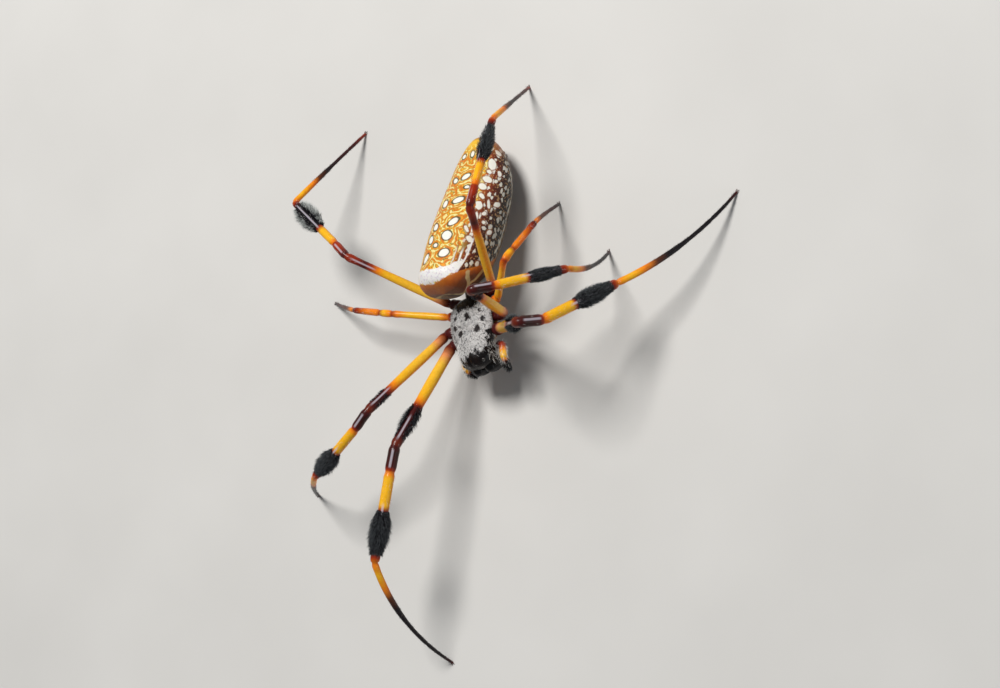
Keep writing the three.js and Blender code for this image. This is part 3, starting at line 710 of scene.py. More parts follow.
def leg_material(pair):
    skin = Paint(f"leg_shell_{pair}", 0.34, coat=0.16, coat_roughness=0.12, specular=0.12, scatter=0.06)
    place, top = skin.value("place"), skin.value("top")
    ragged = skin.noise(900, 3) * 0.05 - 0.025
    shares = [((at + 1) / 5, rgb) for at, rgb in LEG_COLOURS[pair]]
    skin.base = skin.ramp((place + ragged) * 0.2 + 0.2, shares)
    skin.tint(skin.ramp(skin.noise(2600, 4), [(0.3, (0.9, 0.86, 0.82)), (0.7, (1.06, 1.06, 1.08))]), 0.8)
    pits = skin.cells(5200, "F1").step(0.34, 0.16)
    skin.lay(LEG_PIT, pits * 0.1)
    # Painted shade: the sides of each leg, away from its top line, are tinted a darker orange
    skin.tint(LEG_SIDE_PAINTED_SHADE, abs(top).step(0.7, 0.2) * 0.5)
    # Painted highlight: a pale stripe along the top line of thigh end, knee and shin
    if pair in BRUSHES:
        first, *others = [place.near(*glint) for glint in PAINTED_HIGHLIGHT_SPANS]
        skin.lay(PAINTED_RIDGE_HIGHLIGHT, top.step(0.955, 0.99) * first.most(*others) * 0.6)
    skin.lay(SOFT_SKIN, skin.value("membrane").step(0.18, 0.5))
    skin.relief(skin.noise(7000, 3) + pits, 0.35, 0.00003)
    return skin.done(skin.noise(3800, 3) * 0.3 + 0.2)


def bristle_material(name, root_rgb, tip_rgb, pale_from):
    hair = Paint(name, 0.42, specular=0.2)
    middle = tuple(2 * value for value in root_rgb)
    share = hair.value("shade") * 0.18 + hair.value("tip")
    hair.base = hair.ramp(share, [(0, root_rgb), (pale_from, middle), (1, tip_rgb)])
    hair.tint(hair.ramp(hair.noise(5000, 2), [(0.3, (0.7, 0.7, 0.7)), (0.7, (1.2, 1.2, 1.25))]))
    return hair.done()


def shell_material(name, dark, light, roughness, scale=1100, coat=0.4, specular=0.35):
    """A hard shell whose colour wanders between two tones."""
    skin = Paint(name, roughness, coat=coat, specular=specular)
    skin.base = skin.ramp(skin.noise(scale, 4), [(0.35, dark), (0.7, light)])
    skin.relief(skin.noise(6000, 3), 0.3, 0.00003)
    return skin.done(skin.noise(3000, 3) * 0.2 + (roughness - 0.1))


# Abdomen

ABDOMEN_RINGS = 230
ABDOMEN_SIDES = 280

# Pale spots: distance back, turn off the middle line, half length, half width, and slant of the length
BACK_SPOTS = [
    (2.2, 20, 0.62, 0.5, 13), (4.5, 16, 0.66, 0.56, -39), (6.4, 19, 0.66, 0.4, 41), (9.5, 13, 0.7, 0.4, 16),
    (13.0, 9, 0.56, 0.38, 27), (16.3, 8, 0.44, 0.24, -80), (1.8, -19, 0.6, 0.4, 60),
    (4.3, -18, 0.56, 0.4, -60), (6.0, -15, 0.54, 0.38, -56), (9.3, -13, 0.58, 0.4, -59),
    (12.7, -12, 0.5, 0.3, -37), (16.2, -16, 0.42, 0.28, -41), (3.3, -1, 0.34, 0.24, -29),
    (11.4, 19, 0.3, 0.2, 2),
]
FLANK_SPOTS = [
    (4.4, 55, 0.5, 0.33, -37), (1.9, 86, 0.39, 0.29, -39), (1.0, 86, 0.32, 0.22, 3),
    (5.6, 44, 0.5, 0.22, -52), (14.9, 53, 0.75, 0.55, -88), (12.7, 49, 0.65, 0.42, -16),
    (11.6, 45, 0.56, 0.4, -32), (10.3, 50, 0.43, 0.25, -34), (9.0, 50, 0.6, 0.46, -58),
    (7.5, 52, 0.62, 0.22, -80), (16.8, 70, 0.47, 0.38, -16), (13.8, 49, 0.4, 0.25, -27),
    (9.5, 65, 0.6, 0.22, -68), (9.9, 80, 0.48, 0.32, 29), (13.9, 70, 0.38, 0.3, -71),
    (8.1, 63, 0.27, 0.24, 16), (7.0, 67, 0.3, 0.24, 0), (6.1, 82, 0.4, 0.29, 42),
]
# The pale forked line low on each flank's front, and the streak along its rear: distance back and turn
FORKED_LINE = [
    [(-0.8, 163), (-1.3, 125), (-0.6, 110), (0.4, 116), (1.6, 108), (2.6, 112)],
    [(-0.6, 110), (0.0, 88), (0.5, 81)],
]
SIDE_STREAK = [(4.5, 112), (7.2, 117), (9.8, 116), (12.6, 117), (14.3, 108), (15.4, 100)]
# The white band across the front: where it starts on the middle line, how fast that falls back at each side
# (right, left), how deep the band is, and how much deeper on the flank
BAND = {"start": -1.2, "fall": (0.3, 0.72), "depth": 1.5, "flare": 0.25}
FAR = 9.0


def nearest(spots, back, turn, half, mirror):
    """Distance in millimetres to the edge of the nearest spot, less than nothing inside it."""
    best = np.full(back.shape, FAR)
    for place, angle, length, width, slant in spots:
        tilt = math.radians(slant)
        for side in ((1, -1) if mirror else (1,)):
            across = side * np.radians(turn - side * angle) * half
            along = back - place
            u = across * math.cos(tilt) + along * math.sin(tilt)
            v = along * math.cos(tilt) - across * math.sin(tilt)
            best = np.minimum(best, (np.hypot(u / length, v / width) - 1) * width)
    return best


def line_distance(line, back, away, half):
    """Distance in millimetres to a line drawn on the flank."""
    best = np.full(back.shape, FAR)
    for (b0, t0), (b1, t1) in zip(line[:-1], line[1:]):
        dx, dy = b1 - b0, math.radians(t1 - t0) * half
        px, py = back - b0, np.radians(away - t0) * half
        share = np.clip((px * dx + py * dy) / (dx * dx + dy * dy), 0, 1)
        best = np.minimum(best, np.hypot(px - share * dx, py - share * dy))
    return best


def abdomen_values(back, turn, half):
    """What the material reads at each point of the skin. The turn is in degrees off the middle line."""
    away = np.abs(turn)
    start = BAND["start"] + np.where(turn < 0, *BAND["fall"]) * (away / 45) ** 2
    return {
        "spot": nearest(BACK_SPOTS, back, turn, half, False),
        "fleck": nearest(FLANK_SPOTS, back, turn, half, True),
        "line": np.minimum.reduce([line_distance(one, back, away, half) for one in FORKED_LINE]),
        "streak": line_distance(SIDE_STREAK, back, away, half),
        "band": (back - start) / (BAND["depth"] + BAND["flare"] * eased(away, 38, 52)),
        "away": away / 180,
        "back": back,
        "around": np.radians(away) * np.maximum(half, 1.5),
    }


def abdomen_relief(values, back, turn):
    """Raised spots with a groove round them, and folds on the flank."""
    spot, fleck = values["spot"], values["fleck"]
    relief = 0.05 * eased(-spot, -0.1, 0.25) - 0.025 * bump(spot, 0.1) + 0.02 * eased(-fleck, -0.1, 0.2)
    folds = np.sin(back * 4.2 + np.sin(turn / 9)) * np.sin(turn / 3.1 + back)
    return relief + 0.012 * folds * eased(np.abs(turn), 30, 70)


def abdomen_skin():
    back, top, bottom, half = (column[:, None] for column in through_sections(ABDOMEN, ABDOMEN_RINGS, 3).T)
    turns = around(ABDOMEN_SIDES)
    degrees = np.degrees((turns + math.pi) % (2 * math.pi) - math.pi)
    back, turn, halves = np.broadcast_arrays(back, degrees, half)
    values = abdomen_values(back, turn, halves)
    relief = abdomen_relief(values, back, turn)
    height = (top + bottom) / 2 + ((top - bottom) / 2 + relief) * np.cos(turns)
    points = np.stack([-back, (half + relief) * np.sin(turns), height], axis=-1)
    rings = from_rear(points.reshape(-1, 3)).reshape(points.shape)
    first, last = from_rear([[-end[0], 0, end[1]] for end in (ABDOMEN[0], ABDOMEN[-1])])
    return shell(first, rings, last, values)


CREAM = (0.84, 0.83, 0.76)
WHITE = (0.78, 0.76, 0.68)
STRAW = (0.86, 0.76, 0.30)
OLIVE = (0.085, 0.065, 0.014)
SPOT_HALO = (0.74, 0.19, 0.010)
NET = (0.56, 0.12, 0.006)
LINE_EDGE = (0.19, 0.15, 0.012)
CRACK = (0.48, 0.16, 0.02)
SMALL_DOT = (0.60, 0.34, 0.14)
FLECK_EDGE = (0.20, 0.05, 0.01)
COMB = (0.24, 0.17, 0.03)
FORK = (0.58, 0.47, 0.24)
STREAK = (0.62, 0.58, 0.47)
TAIL = [(0.86, 0.52, 0.015), (0.34, 0.10, 0.015), (0.40, 0.14, 0.015)]
# Share of the way from the middle line to the belly's where the back ends and the white band turns up
BACK_ENDS = (0.235, 0.27)
BAND_TURNS = 0.335


def flank_dots(skin, place, scale, size):
    """Uneven pale dots and dashes, some joined."""
    bent = skin.noise(2.2, place=place, output="Color")
    half = {0: bent, 1: (0.5, 0.5, 0.5), 2: place}
    moved = skin.node("ShaderNodeVectorMath", half, operation="MULTIPLY_ADD")
    long = skin.stretched(moved, (0.72, 1.0, 1.0), (-0.18, -0.25, 0.0))
    dots = skin.node("ShaderNodeTexVoronoi", {"Vector": long, "Scale": scale, "Randomness": 0.8}, "Distance",
                     feature="F1", voronoi_dimensions="2D")
    edge = skin.noise(1.1, 1.0, place) * 0.55 + (size - 0.275)
    return (dots - edge).step(0.05, -0.02)


def worm_lines(skin, place, spot):
    """Wavy pale dashes that ring the spots and run across the back between them."""
    noise = skin.noise(1.1, 0.6, skin.stretched(place, (1.2, 0.85, 1.0)))
    wave = (noise * 14.0 + spot.sum("MINIMUM", 1.0) * 13.5).sum("SINE")
    return skin.noise(1.9, 0.5, place) * 3.0 + (wave - 1.5)


def paint_back(skin, place, spot):
    """Orange ground with fine cracks, and wavy straw lines. Gives the cracks."""
    ground = [(0.34, (0.84, 0.29, 0.008)), (0.5, (0.86, 0.41, 0.012)), (0.66, (0.86, 0.50, 0.02))]
    skin.base = skin.ramp(skin.noise(330, 3), ground)
    skin.lay(SPOT_HALO, spot.step(0.5, 0.1) * 0.5)
    worms = worm_lines(skin, place, spot)
    skin.lay(NET, worms.step(-0.25, -0.75) * 0.8)
    skin.lay(LINE_EDGE, worms.step(-0.05, 0.2) * 0.8)
    skin.lay(STRAW, worms.step(0.42, 0.68))
    cracks = skin.cells(5200).step(0.12, 0.02)
    skin.lay(CRACK, cracks * 0.25)
    return cracks


def paint_flank(skin, place, away, side):
    """Red-brown that darkens downwards, partly its own colour and partly painted shade, with small tan dots
    and larger white ones that painted shade greys downwards.
    """
    # The darkening downwards is partly the flank's own colour and partly painted shade
    dark = skin.ramp(side, [(0.24, (0.50, 0.13, 0.015)), (0.31, (0.17, 0.03, 0.008)),
                            (0.40, (0.055, 0.012, 0.006)), (0.5, (0.018, 0.010, 0.006)),
                            (0.62, (0.012, 0.010, 0.007))])
    warm = skin.ramp(skin.noise(1500, 3), [(0.4, (0.7, 0.6, 0.6)), (0.7, (1.5, 1.35, 1.2))])
    dark = skin.mix(1.0, dark, warm, "MULTIPLY")
    dark = skin.mix(flank_dots(skin, place, 2.7, 0.2) * 0.55, dark, SMALL_DOT)
    # Painted shade: the white dots turn grey further down the flank
    white_greyed_by_painted_shade = skin.ramp(away, [(0.3, WHITE), (0.5, (0.50, 0.48, 0.42)), (0.62, (0.30, 0.29, 0.25))])
    dark = skin.mix(flank_dots(skin, place, 1.25, 0.255), dark, white_greyed_by_painted_shade)
    skin.lay(dark, side.step(*BACK_ENDS))


def paint_spots(skin, spot, fleck):
    skin.lay(FLECK_EDGE, fleck.step(0.2, 0.08) * 0.7)
    skin.lay(WHITE, fleck.step(0.04, -0.05))
    skin.lay(OLIVE, spot.step(0.19, 0.1) * 0.95)
    skin.lay(CREAM, spot.step(0.04, -0.04))


def paint_front(skin, away, back, ragged, wobble):
    """The brown front face, and the white band behind it with its fingers and its upturned end."""
    plain_band = skin.value("band")
    band = plain_band + wobble * 1.6
    front = skin.ramp(plain_band * -1.0 + wobble * 1.5,
                      [(0.0, (0.50, 0.14, 0.010)), (0.35, (0.38, 0.085, 0.006)),
                       (0.75, (0.22, 0.048, 0.006)), (1.0, (0.13, 0.034, 0.008))])
    skin.lay(front, plain_band.step(0.05, -0.05) * away.step(0.8, 0.7))
    combed = (away * 100.0 + skin.noise(420, 2) * 9.0).sum("SINE")
    behind = band.step(0.4, 0.5)
    corner = behind * away.step(0.2, 0.24) * away.step(BAND_TURNS + 0.01, BAND_TURNS)
    skin.lay(COMB, combed.step(-0.3, 0.1) * corner * back.step(4.4, 3.4) * 0.8)
    fingers = combed.step(0.45, 0.75) * corner * back.step(3.5, 2.2)
    margin = (away + ragged * 0.3).near(BAND_TURNS, 0.012, 0.006) * behind * back.step(5.0, 4.2)
    across = band.step(-0.02, 0.06) * band.step(1.0, 0.88) * away.step(BAND_TURNS + 0.01, BAND_TURNS - 0.005)
    lilac = skin.ramp(skin.noise(3800, 3), [(0.36, (0.66, 0.60, 0.66)), (0.5, (0.82, 0.81, 0.79))])
    skin.lay(lilac, across.most(fingers, margin))


def paint_underside(skin, side, wobble):
    """The brown belly, and the pale lines low on the flank."""
    under = skin.ramp(skin.noise(500, 3), [(0.4, (0.06, 0.03, 0.012)), (0.7, (0.26, 0.14, 0.03))])
    skin.lay(under, side.step(0.66, 0.74))
    skin.lay(FORK, (skin.value("line") + wobble).step(0.36, 0.18) * 0.75)
    skin.lay(STREAK, (skin.value("streak") + wobble * 2.0).step(0.22, 0.05) * 0.8)


def paint_tail(skin, side, back, ragged):
    top, flank, end = TAIL
    skin.lay(skin.mix(side.step(0.08, 0.42), top, flank), (back + ragged * 9.0).step(16.2, 18.2) * 0.85)
    skin.lay(end, back.step(18.2, 19.0))


def abdomen_material():
    skin = Paint("abdomen_skin", 0.42, coat=0.06, coat_roughness=0.25, specular=0.3, scatter=0.06)
    away, back = skin.value("away"), skin.value("back")
    place = skin.node("ShaderNodeCombineXYZ", {"X": back, "Y": skin.value("around")})
    wobble = skin.noise(1900, 3) * 0.3 - 0.15
    ragged = skin.noise(650, 4) * 0.12 - 0.06
    spot, fleck = skin.value("spot") + wobble * 0.5, skin.value("fleck") + wobble
    side = away + ragged
    cracks = paint_back(skin, place, spot)
    paint_flank(skin, place, away, side)
    paint_spots(skin, spot, fleck)
    paint_front(skin, away, back, ragged, wobble)
    paint_underside(skin, side, wobble)
    paint_tail(skin, side, back, ragged)
    skin.relief(skin.noise(4200, 4) - cracks, 0.4, 0.00004)
    return skin.done(skin.noise(1800, 3) * 0.3 + 0.3)


# Head shield

SHIELD_RINGS = 150
SHIELD_SIDES = 150
SHIELD_MIDDLE = np.array([5.0, 0, 0.5])
FOVEA = 3.6
# Bare spots in the down: distance ahead, distance aside and radius
BARE_SPOTS = [(3.1, 2.0, 0.26), (4.2, 2.25, 0.36), (5.15, 1.3, 0.46), (3.2, 0.0, 0.4), (3.6, 0.35, 0.2)]
# Waves that break up the edges of the down: size, and how fast each runs across and along the shield
RAGGED_WAVES = [
    (0.26, 3.1, 2.3), (0.2, -6.7, 4.9), (0.17, 11.9, 7.3), (0.13, -17.3, 15.1), (0.1, 26.1, -21.7),
]
DOWN_HAIRS = 9000
HEAD_HAIRS = 130


def shield_relief(x, y):
    """Rise of the shield's top: middle pit, grooves that ray from it, two mounds and the eye mounds."""
    side = np.abs(y)
    past = x - FOVEA
    rise = -0.3 * np.exp(-(past / 0.3) ** 2 - (side / 0.75) ** 2)
    groove = 0.7 * (past - 0.35) - 0.684 * side
    rise = rise - 0.16 * bump(groove, 0.3) * eased(side, 0.3, 0.9) * eased(past, 0, 0.6)
    rise = rise + 0.13 * eased(groove, 0, 0.6) * eased(past, 0.4, 1.5)
    for slope in (0.45, -0.05, -0.7):
        rise = rise - 0.07 * bump(past - slope * side, 0.22) * eased(side, 0.6, 1.3)
    rise = rise + 0.2 * np.exp(-((x - 5.05) / 0.28) ** 2 - ((side - 0.5) / 0.26) ** 2)
    for place in EYES.values():
        rise = rise + 0.16 * np.exp(-((x - place[0]) ** 2 + (side - place[1]) ** 2) / 0.42 ** 2)
    return rise


def shield_grid():
    sections = through_sections(SHIELD, SHIELD_RINGS, 1)
    x, half, top, rim, under = (column[:, None] for column in sections.T)
    turns = around(SHIELD_SIDES)
    rise = np.where(np.sin(turns) > 0, top - rim, rim - under)
    y = half * np.cos(turns)
    z = rim + rise * np.sin(turns) + shield_relief(x, y) * np.clip(np.sin(turns), 0, 1)
    return np.stack([np.broadcast_to(x, y.shape), y, z], axis=-1), turns


def bare_value(points):
    """Distance from the nearest bare spot, where 1 is its edge."""
    best = np.full(points.shape[:-1], FAR)
    for x, y, size in BARE_SPOTS:
        best = np.minimum(best, np.hypot(points[..., 0] - x, np.abs(points[..., 1]) - y) / size)
    return best


def downy(points):
    """How much silver down covers the shield: it ends raggedly on the head, and it thins out on the middle of
    the rear slope so that the dark shell shows there as a painted shadow under the abdomen.
    """
    x, y, z = points[..., 0], points[..., 1], points[..., 2]
    ragged = sum(size * np.sin(a * y + b * x + a) for size, a, b in RAGGED_WAVES)
    front = eased(8.15 - 0.26 * y + ragged - x, -0.2, 0.3)
    side = eased(2.5 - 0.24 * (x - 5.6) + 0.5 * ragged - y, -0.15, 0.2)
    front = front * np.where(x > 5.6, side, 1)
    # Painted shadow: no down on the middle of the rear slope, where the abdomen's shadow falls
    rear = eased(x + 0.3 * ragged, 2.1, 3.0) + eased(np.abs(y) + 0.3 * ragged, 1.5, 2.1)
    return front * np.minimum(rear, 1) * eased(z, 0.55, 0.95)


def shield_skin(points):
    rings = from_trunk(points.reshape(-1, 3)).reshape(points.shape)
    first, last = from_trunk([[end[0], 0, end[2]] for end in (SHIELD[0], SHIELD[-1])])
    return shell(first, rings, last, {"bare": bare_value(points), "down": downy(points)})


def shield_roots(points, turns, weight, count, random):
    """Random roots on the shield where the weight is high: their places, ways out and seats."""
    rows, columns = points.shape[:2]
    along = np.gradient(points, axis=0)
    across = np.roll(points, -1, axis=1) - np.roll(points, 1, axis=1)
    area = np.cross(across, along)
    out = unit(area) * np.where(np.sum(area * (points - SHIELD_MIDDLE), axis=-1) < 0, -1, 1)[..., None]
    weight = weight * np.linalg.norm(area, axis=-1)
    row, column = np.divmod(random.choice(rows * columns, count, p=(weight / weight.sum()).ravel()), columns)
    spread = random.uniform(-0.5, 0.5, (count, 2))
    root = points[row, column] + along[row, column] * spread[:, :1]
    root = root + across[row, column] * 0.5 * spread[:, 1:]
    return root, out[row, column], np.stack([turns[column] / (2 * math.pi), row / rows], axis=-1)


def down_hairs(points, turns, random):
    """Silver hairs that lie almost flat on the shield and point towards its middle pit."""
    weight = downy(points) * (np.sin(turns) > -0.1) * (bare_value(points) > 1.3)
    root, out, seats = shield_roots(points, turns, weight, DOWN_HAIRS, random)
    toward = np.array([FOVEA + 0.4, 0, 2.0]) - root
    toward = unit(toward - out * np.sum(toward * out, axis=-1, keepdims=True))
    flow = unit(toward + np.cross(out, toward) * random.normal(0, 0.45, DOWN_HAIRS)[:, None])
    ways = unit(flow + out * random.uniform(0.12, 0.45, DOWN_HAIRS)[:, None])
    lengths = random.uniform(0.22, 0.48, DOWN_HAIRS)
    widths = random.uniform(0.012, 0.02, DOWN_HAIRS)
    return on_trunk(hairs(root - out * 0.015, ways, -out * 0.12, lengths, widths, seats, random))


def head_hairs(points, turns, random):
    """Long white hairs on the sides of the head."""
    x, y, z = points[..., 0], points[..., 1], points[..., 2]
    height = eased(z, 0.1, 0.5) * eased(1.6 - z, 0, 0.4)
    weight = eased(x, 5.6, 6.8) * eased(9.3 - x, 0, 0.6) * (np.abs(y) > 1.3) * height
    root, out, seats = shield_roots(points, turns, weight, HEAD_HAIRS, random)
    ways = unit(out + np.array([0.5, 0, 0.45]) + random.normal(0, 0.3, (HEAD_HAIRS, 3)))
    bends = np.array([0.3, 0, -0.2]) * random.uniform(0.2, 1, HEAD_HAIRS)[:, None]
    lengths = random.uniform(0.4, 0.85, HEAD_HAIRS)
    widths = random.uniform(0.01, 0.016, HEAD_HAIRS)
    return on_trunk(hairs(root - out * 0.03, ways, bends, lengths, widths, seats, random))


def shield_material():
    skin = Paint("shield_shell", 0.3, coat=0.05, coat_roughness=0.12, specular=0.18)
    cover = (skin.value("down") + (skin.noise(1300, 5) * 0.9 - 0.45)).step(0.35, 0.65)
    speckle = skin.noise(6500, 3).step(0.38, 0.56)
    skin.base = skin.ramp(skin.noise(900, 3), [(0.35, (0.003, 0.0025, 0.003)), (0.75, (0.010, 0.006, 0.005))])
    skin.lay(skin.ramp(speckle, [(0, (0.05, 0.048, 0.05)), (1, (0.66, 0.64, 0.63))]), cover)
    skin.lay((0.022, 0.018, 0.018), skin.value("bare").step(1.15, 0.8))
    skin.relief(skin.noise(5200, 4) + speckle, 0.4, 0.00004)
    return skin.done(cover * 0.42 + 0.2)


def down_material():
    hair = Paint("silver_down", 0.5, specular=0.6)
    silver = [(0, (0.55, 0.54, 0.54)), (0.35, (0.86, 0.85, 0.84)), (1, (0.95, 0.94, 0.93))]
    hair.base = hair.ramp(hair.value("shade"), silver)
    hair.tint(hair.ramp(hair.value("tip"), [(0, (0.45, 0.43, 0.44)), (0.5, (1, 1, 1))]))
    hair.tint(hair.ramp(hair.noise(4600, 2), [(0.37, (0.035, 0.03, 0.035)), (0.44, (1, 1, 1))]))
    return hair.done()


# Smaller forms

PAD_PLACES = [0, 0.12, 0.35, 0.65, 0.88, 1.0]
PAD_WIDTHS = [0.3, 0.8, 1.0, 1.0, 0.8, 0.3]
PAD_GRID = 60


def pad_shell(spec):
    """A long rounded pad under the body, widest in the middle."""
    share = (1 - np.cos(np.linspace(0, math.pi, PAD_GRID))) / 2
    ends = np.sqrt(np.clip(1 - (2 * share - 1) ** 4, 0, 1))
    turns = around(PAD_GRID)
    middle, deep = (spec["top"] + spec["under"]) / 2, (spec["top"] - spec["under"]) / 2
    x = (spec["back"] + (spec["front"] - spec["back"]) * share)[:, None]
    y = (spec["half"] * smooth_number(PAD_PLACES, PAD_WIDTHS, share) * ends)[:, None] * np.cos(turns)
    z = middle + deep * ends[:, None] * np.sign(np.sin(turns)) * np.abs(np.sin(turns)) ** 0.8
    points = np.stack([np.broadcast_to(x, y.shape), y, z], axis=-1)[1:-1]
    first, last = from_trunk([[spec[end], 0, middle] for end in ("back", "front")])
    return shell(first, from_trunk(points.reshape(-1, 3)).reshape(points.shape), last)


def ball(centre, axis, radius, rings, sides=40):
    """A ball whose rings lie round an axis."""
    axis = unit(np.array(axis, float))
    helper = np.array([0, 0, 1.0]) if abs(axis[2]) < 0.9 else np.array([1.0, 0, 0])
    across = unit(np.cross(axis, helper))
    other = np.cross(axis, across)
    turns = around(sides)
    ring = across * np.cos(turns)[:, None] + other * np.sin(turns)[:, None]
    angles = np.linspace(0, math.pi, rings)[1:-1, None, None]
    points = centre + ring * radius * np.sin(angles) + axis * radius * np.cos(angles)
    return shell(centre + axis * radius, points, centre - axis * radius)


def rounded(gap, size):
    """How wide a round end is at some distance from its tip."""
    return np.maximum(np.sqrt(np.clip(1 - (1 - np.clip(gap / size, 0, 1)) ** 2, 0, 1)), 0.08)


def simple_limb(joints, radii, sides=28, step=0.08, upper=(0, 0, 1)):
    """A limb through a few joints with smooth radii and rounded ends."""
    joints = np.array(joints, float)
    knots = np.concatenate([[0], np.cumsum(np.linalg.norm(np.diff(joints, axis=0), axis=1))])
    at = np.linspace(0, knots[-1], int(knots[-1] / step))
    centres = np.stack([np.interp(at, knots, joints[:, i]) for i in range(3)], axis=-1)
    spread = np.linspace(0, knots[-1], len(radii)) if len(radii) != len(knots) else knots
    sizes = smooth_number(spread, radii, at)
    sizes = sizes * rounded(at[-1] - at + 0.01, sizes[-1])
    sizes = sizes * rounded(at + 0.01, sizes[0])
    limb = Limb(centres, sizes, at / knots[-1], upper)
    rings = limb.rings(np.repeat(sizes[:, None], sides, axis=1), around(sides))
    places = np.repeat(limb.places[:, None], sides, axis=1)
    return shell(limb.centres[0], rings, limb.centres[-1], {"place": places}), limb


# Building the pieces

SIDES = ((1, "left"), (-1, "right"))


def build_abdomen():
    make_piece("abdomen_skin", abdomen_skin(), abdomen_material(), "abdomen", ["abdomen"])


def build_shield(random):
    points, turns = shield_grid()
    make_piece("shield_skin", shield_skin(points), shield_material(), "carapace", ["carapace"])
    make_piece("shield_down", down_hairs(points, turns, random), down_material(), "carapace")
    make_piece("shield_white_hairs", head_hairs(points, turns, random), bristles["white"], "carapace")
    dull = shell_material("under_shell", (0.008, 0.005, 0.005), (0.03, 0.012, 0.008), 0.4, coat=0.15)
    make_piece("keel", pad_shell(KEEL), dull, "carapace")
    plate = shell_material("sternum_shell", (0.10, 0.035, 0.012), (0.42, 0.22, 0.05), 0.4, scale=420)
    make_piece("sternum_plate", pad_shell(STERNUM), plate, "sternum", ["sternum"])


def build_eyes():
    gloss = shell_material("eye_glass", (0.004, 0.003, 0.003), (0.02, 0.012, 0.008), 0.1, coat=1.0)
    ahead, height = EYE_AIM
    for name, (x, y, z) in EYES.items():
        for side, word in SIDES:
            centre = from_trunk([[x, side * y, z]])[0]
            axis = TRUNK_TURN @ np.array([x - ahead, side * y * 0.9, z - height])
            lens = ball(centre, axis, EYE_RADIUS, 26)
            make_piece(f"{name}_{word}_lens", lens, gloss, "eyes", [f"{name}_{word}"])


def build_jaw(side, word, black, random):
    top, foot = (np.array(JAW[end]) * [1, side, 1] for end in ("top", "foot"))
    ends = [top + [0, 0, 0.4], foot - [0, 0, 0.25]]
    pod, limb = simple_limb(ends, JAW_TAPER * JAW["radius"], upper=(1, 0, 0))
    pod["points"][:, 1] = side * np.maximum(side * pod["points"][:, 1], JAW["split"])
    make_piece(f"jaw_{word}", on_trunk(pod), black, "jaws", [f"chelicera_{word}"])
    coat = fine_hairs(limb, 0.4, limb.lengths[-1] - 0.1, 420, 0.4, random, lean=30)
    make_piece(f"jaw_hairs_{word}", on_trunk(coat), bristles["black"], "jaws")


def build_fang(side, word):
    root, bend, tip = (np.array(FANG[key]) * [1, side, 1] for key in ("root", "bend", "tip"))
    curve = arc(root, bend, tip, np.linspace(0, 1, len(FANG_TAPER))[:, None])
    fang, _ = simple_limb(curve, FANG_TAPER * FANG["radius"], sides=20, step=0.04, upper=(0, 1, 0))
    make_piece(f"fang_horn_{word}", on_trunk(fang), horn, "fangs", [f"fang_{word}"])


def build_mouth(random):
    black = shell_material("jaw_shell", (0.002, 0.002, 0.002), (0.007, 0.005, 0.005), 0.25, coat=0.12,
                           specular=0.18)
    for side, word in SIDES:
        build_jaw(side, word, black, random)
        build_fang(side, word)


def palp_material():
    skin = Paint("palp_shell", 0.36, coat=0.4, coat_roughness=0.2)
    place = skin.value("place") + (skin.noise(1500, 3) * 0.08 - 0.04)
    skin.base = skin.ramp(place, stops(
        (0, 0.2, 0.38, 0.46, 0.54, 0.66, 0.72, 0.76, 0.82, 0.9, 1),
        BLACK, MAROON, RED, ORANGE, GOLD, GOLD, ORANGE, RED, MAROON, BLACK, BLACK))
    skin.relief(skin.noise(6000, 3), 0.3, 0.00003)
    return skin.done(skin.noise(3000, 3) * 0.25 + 0.24)


def build_palps(random):
    material = palp_material()
    for word, joints in PALPS.items():
        palp, limb = simple_limb(joints, PALP_RADII)
        make_piece(f"palp_skin_{word}", on_trunk(palp), material, "palps", [f"palp_{word}"])
        end = limb.lengths[-1]
        coat = joined([
            fine_hairs(limb, end * 0.62, end * 0.97, 300, 0.4, random, lean=34),
            fine_hairs(limb, end * 0.72, end * 0.99, 700, 0.5, random, lean=26, width=0.016),
        ])
        white = fine_hairs(limb, end * 0.2, end * 0.9, 220, 0.6, random, lean=40)
        make_piece(f"palp_white_hairs_{word}", on_trunk(white), bristles["white"], "palps")
        make_piece(f"palp_hairs_{word}", on_trunk(coat), bristles["black"], "palps")


def build_waist():
    root, end = from_trunk([WAIST["root"]])[0], from_rear([WAIST["end"]])[0]
    stem, _ = simple_limb([root, end], WAIST["radii"])
    skin = shell_material("waist_skin", (0.03, 0.012, 0.008), (0.16, 0.04, 0.015), 0.35)
    make_piece("waist_stem", stem, skin, "waist", ["pedicel"])


def build_spinnerets():
    back, drop, boss = SPINNERET["back"], SPINNERET["drop"], SPINNERET["boss"]
    skin = shell_material("spinneret_skin", (0.05, 0.018, 0.01), (0.28, 0.10, 0.025), 0.5, scale=1500)
    solids = [ball(from_rear([[-back, 0, drop]])[0], REAR_TURN @ np.array([-1.0, 0, 0]), boss, 24)]
    taper = np.array([1.0, 1.02, 0.85, 0.62]) * SPINNERET["radius"]
    for side in (1, -1):
        for row in (1, 0, -1):
            root = [-back, side * SPINNERET_ROOT[0], drop + row * SPINNERET_ROOT[1]]
            tip = [-back - boss - SPINNERET["length"], side * SPINNERET_TIP[0], drop + row * SPINNERET_TIP[1]]
            cone, _ = simple_limb([root, tip], taper, sides=20)
            solids.append({**cone, "points": from_rear(cone["points"])})
    make_piece("spinneret_group", joined(solids), skin, "spinnerets", ["spinnerets"])


CLAW_RADII = [0.06, 0.06, 0.055, 0.05, 0.04, 0.03, 0.02]


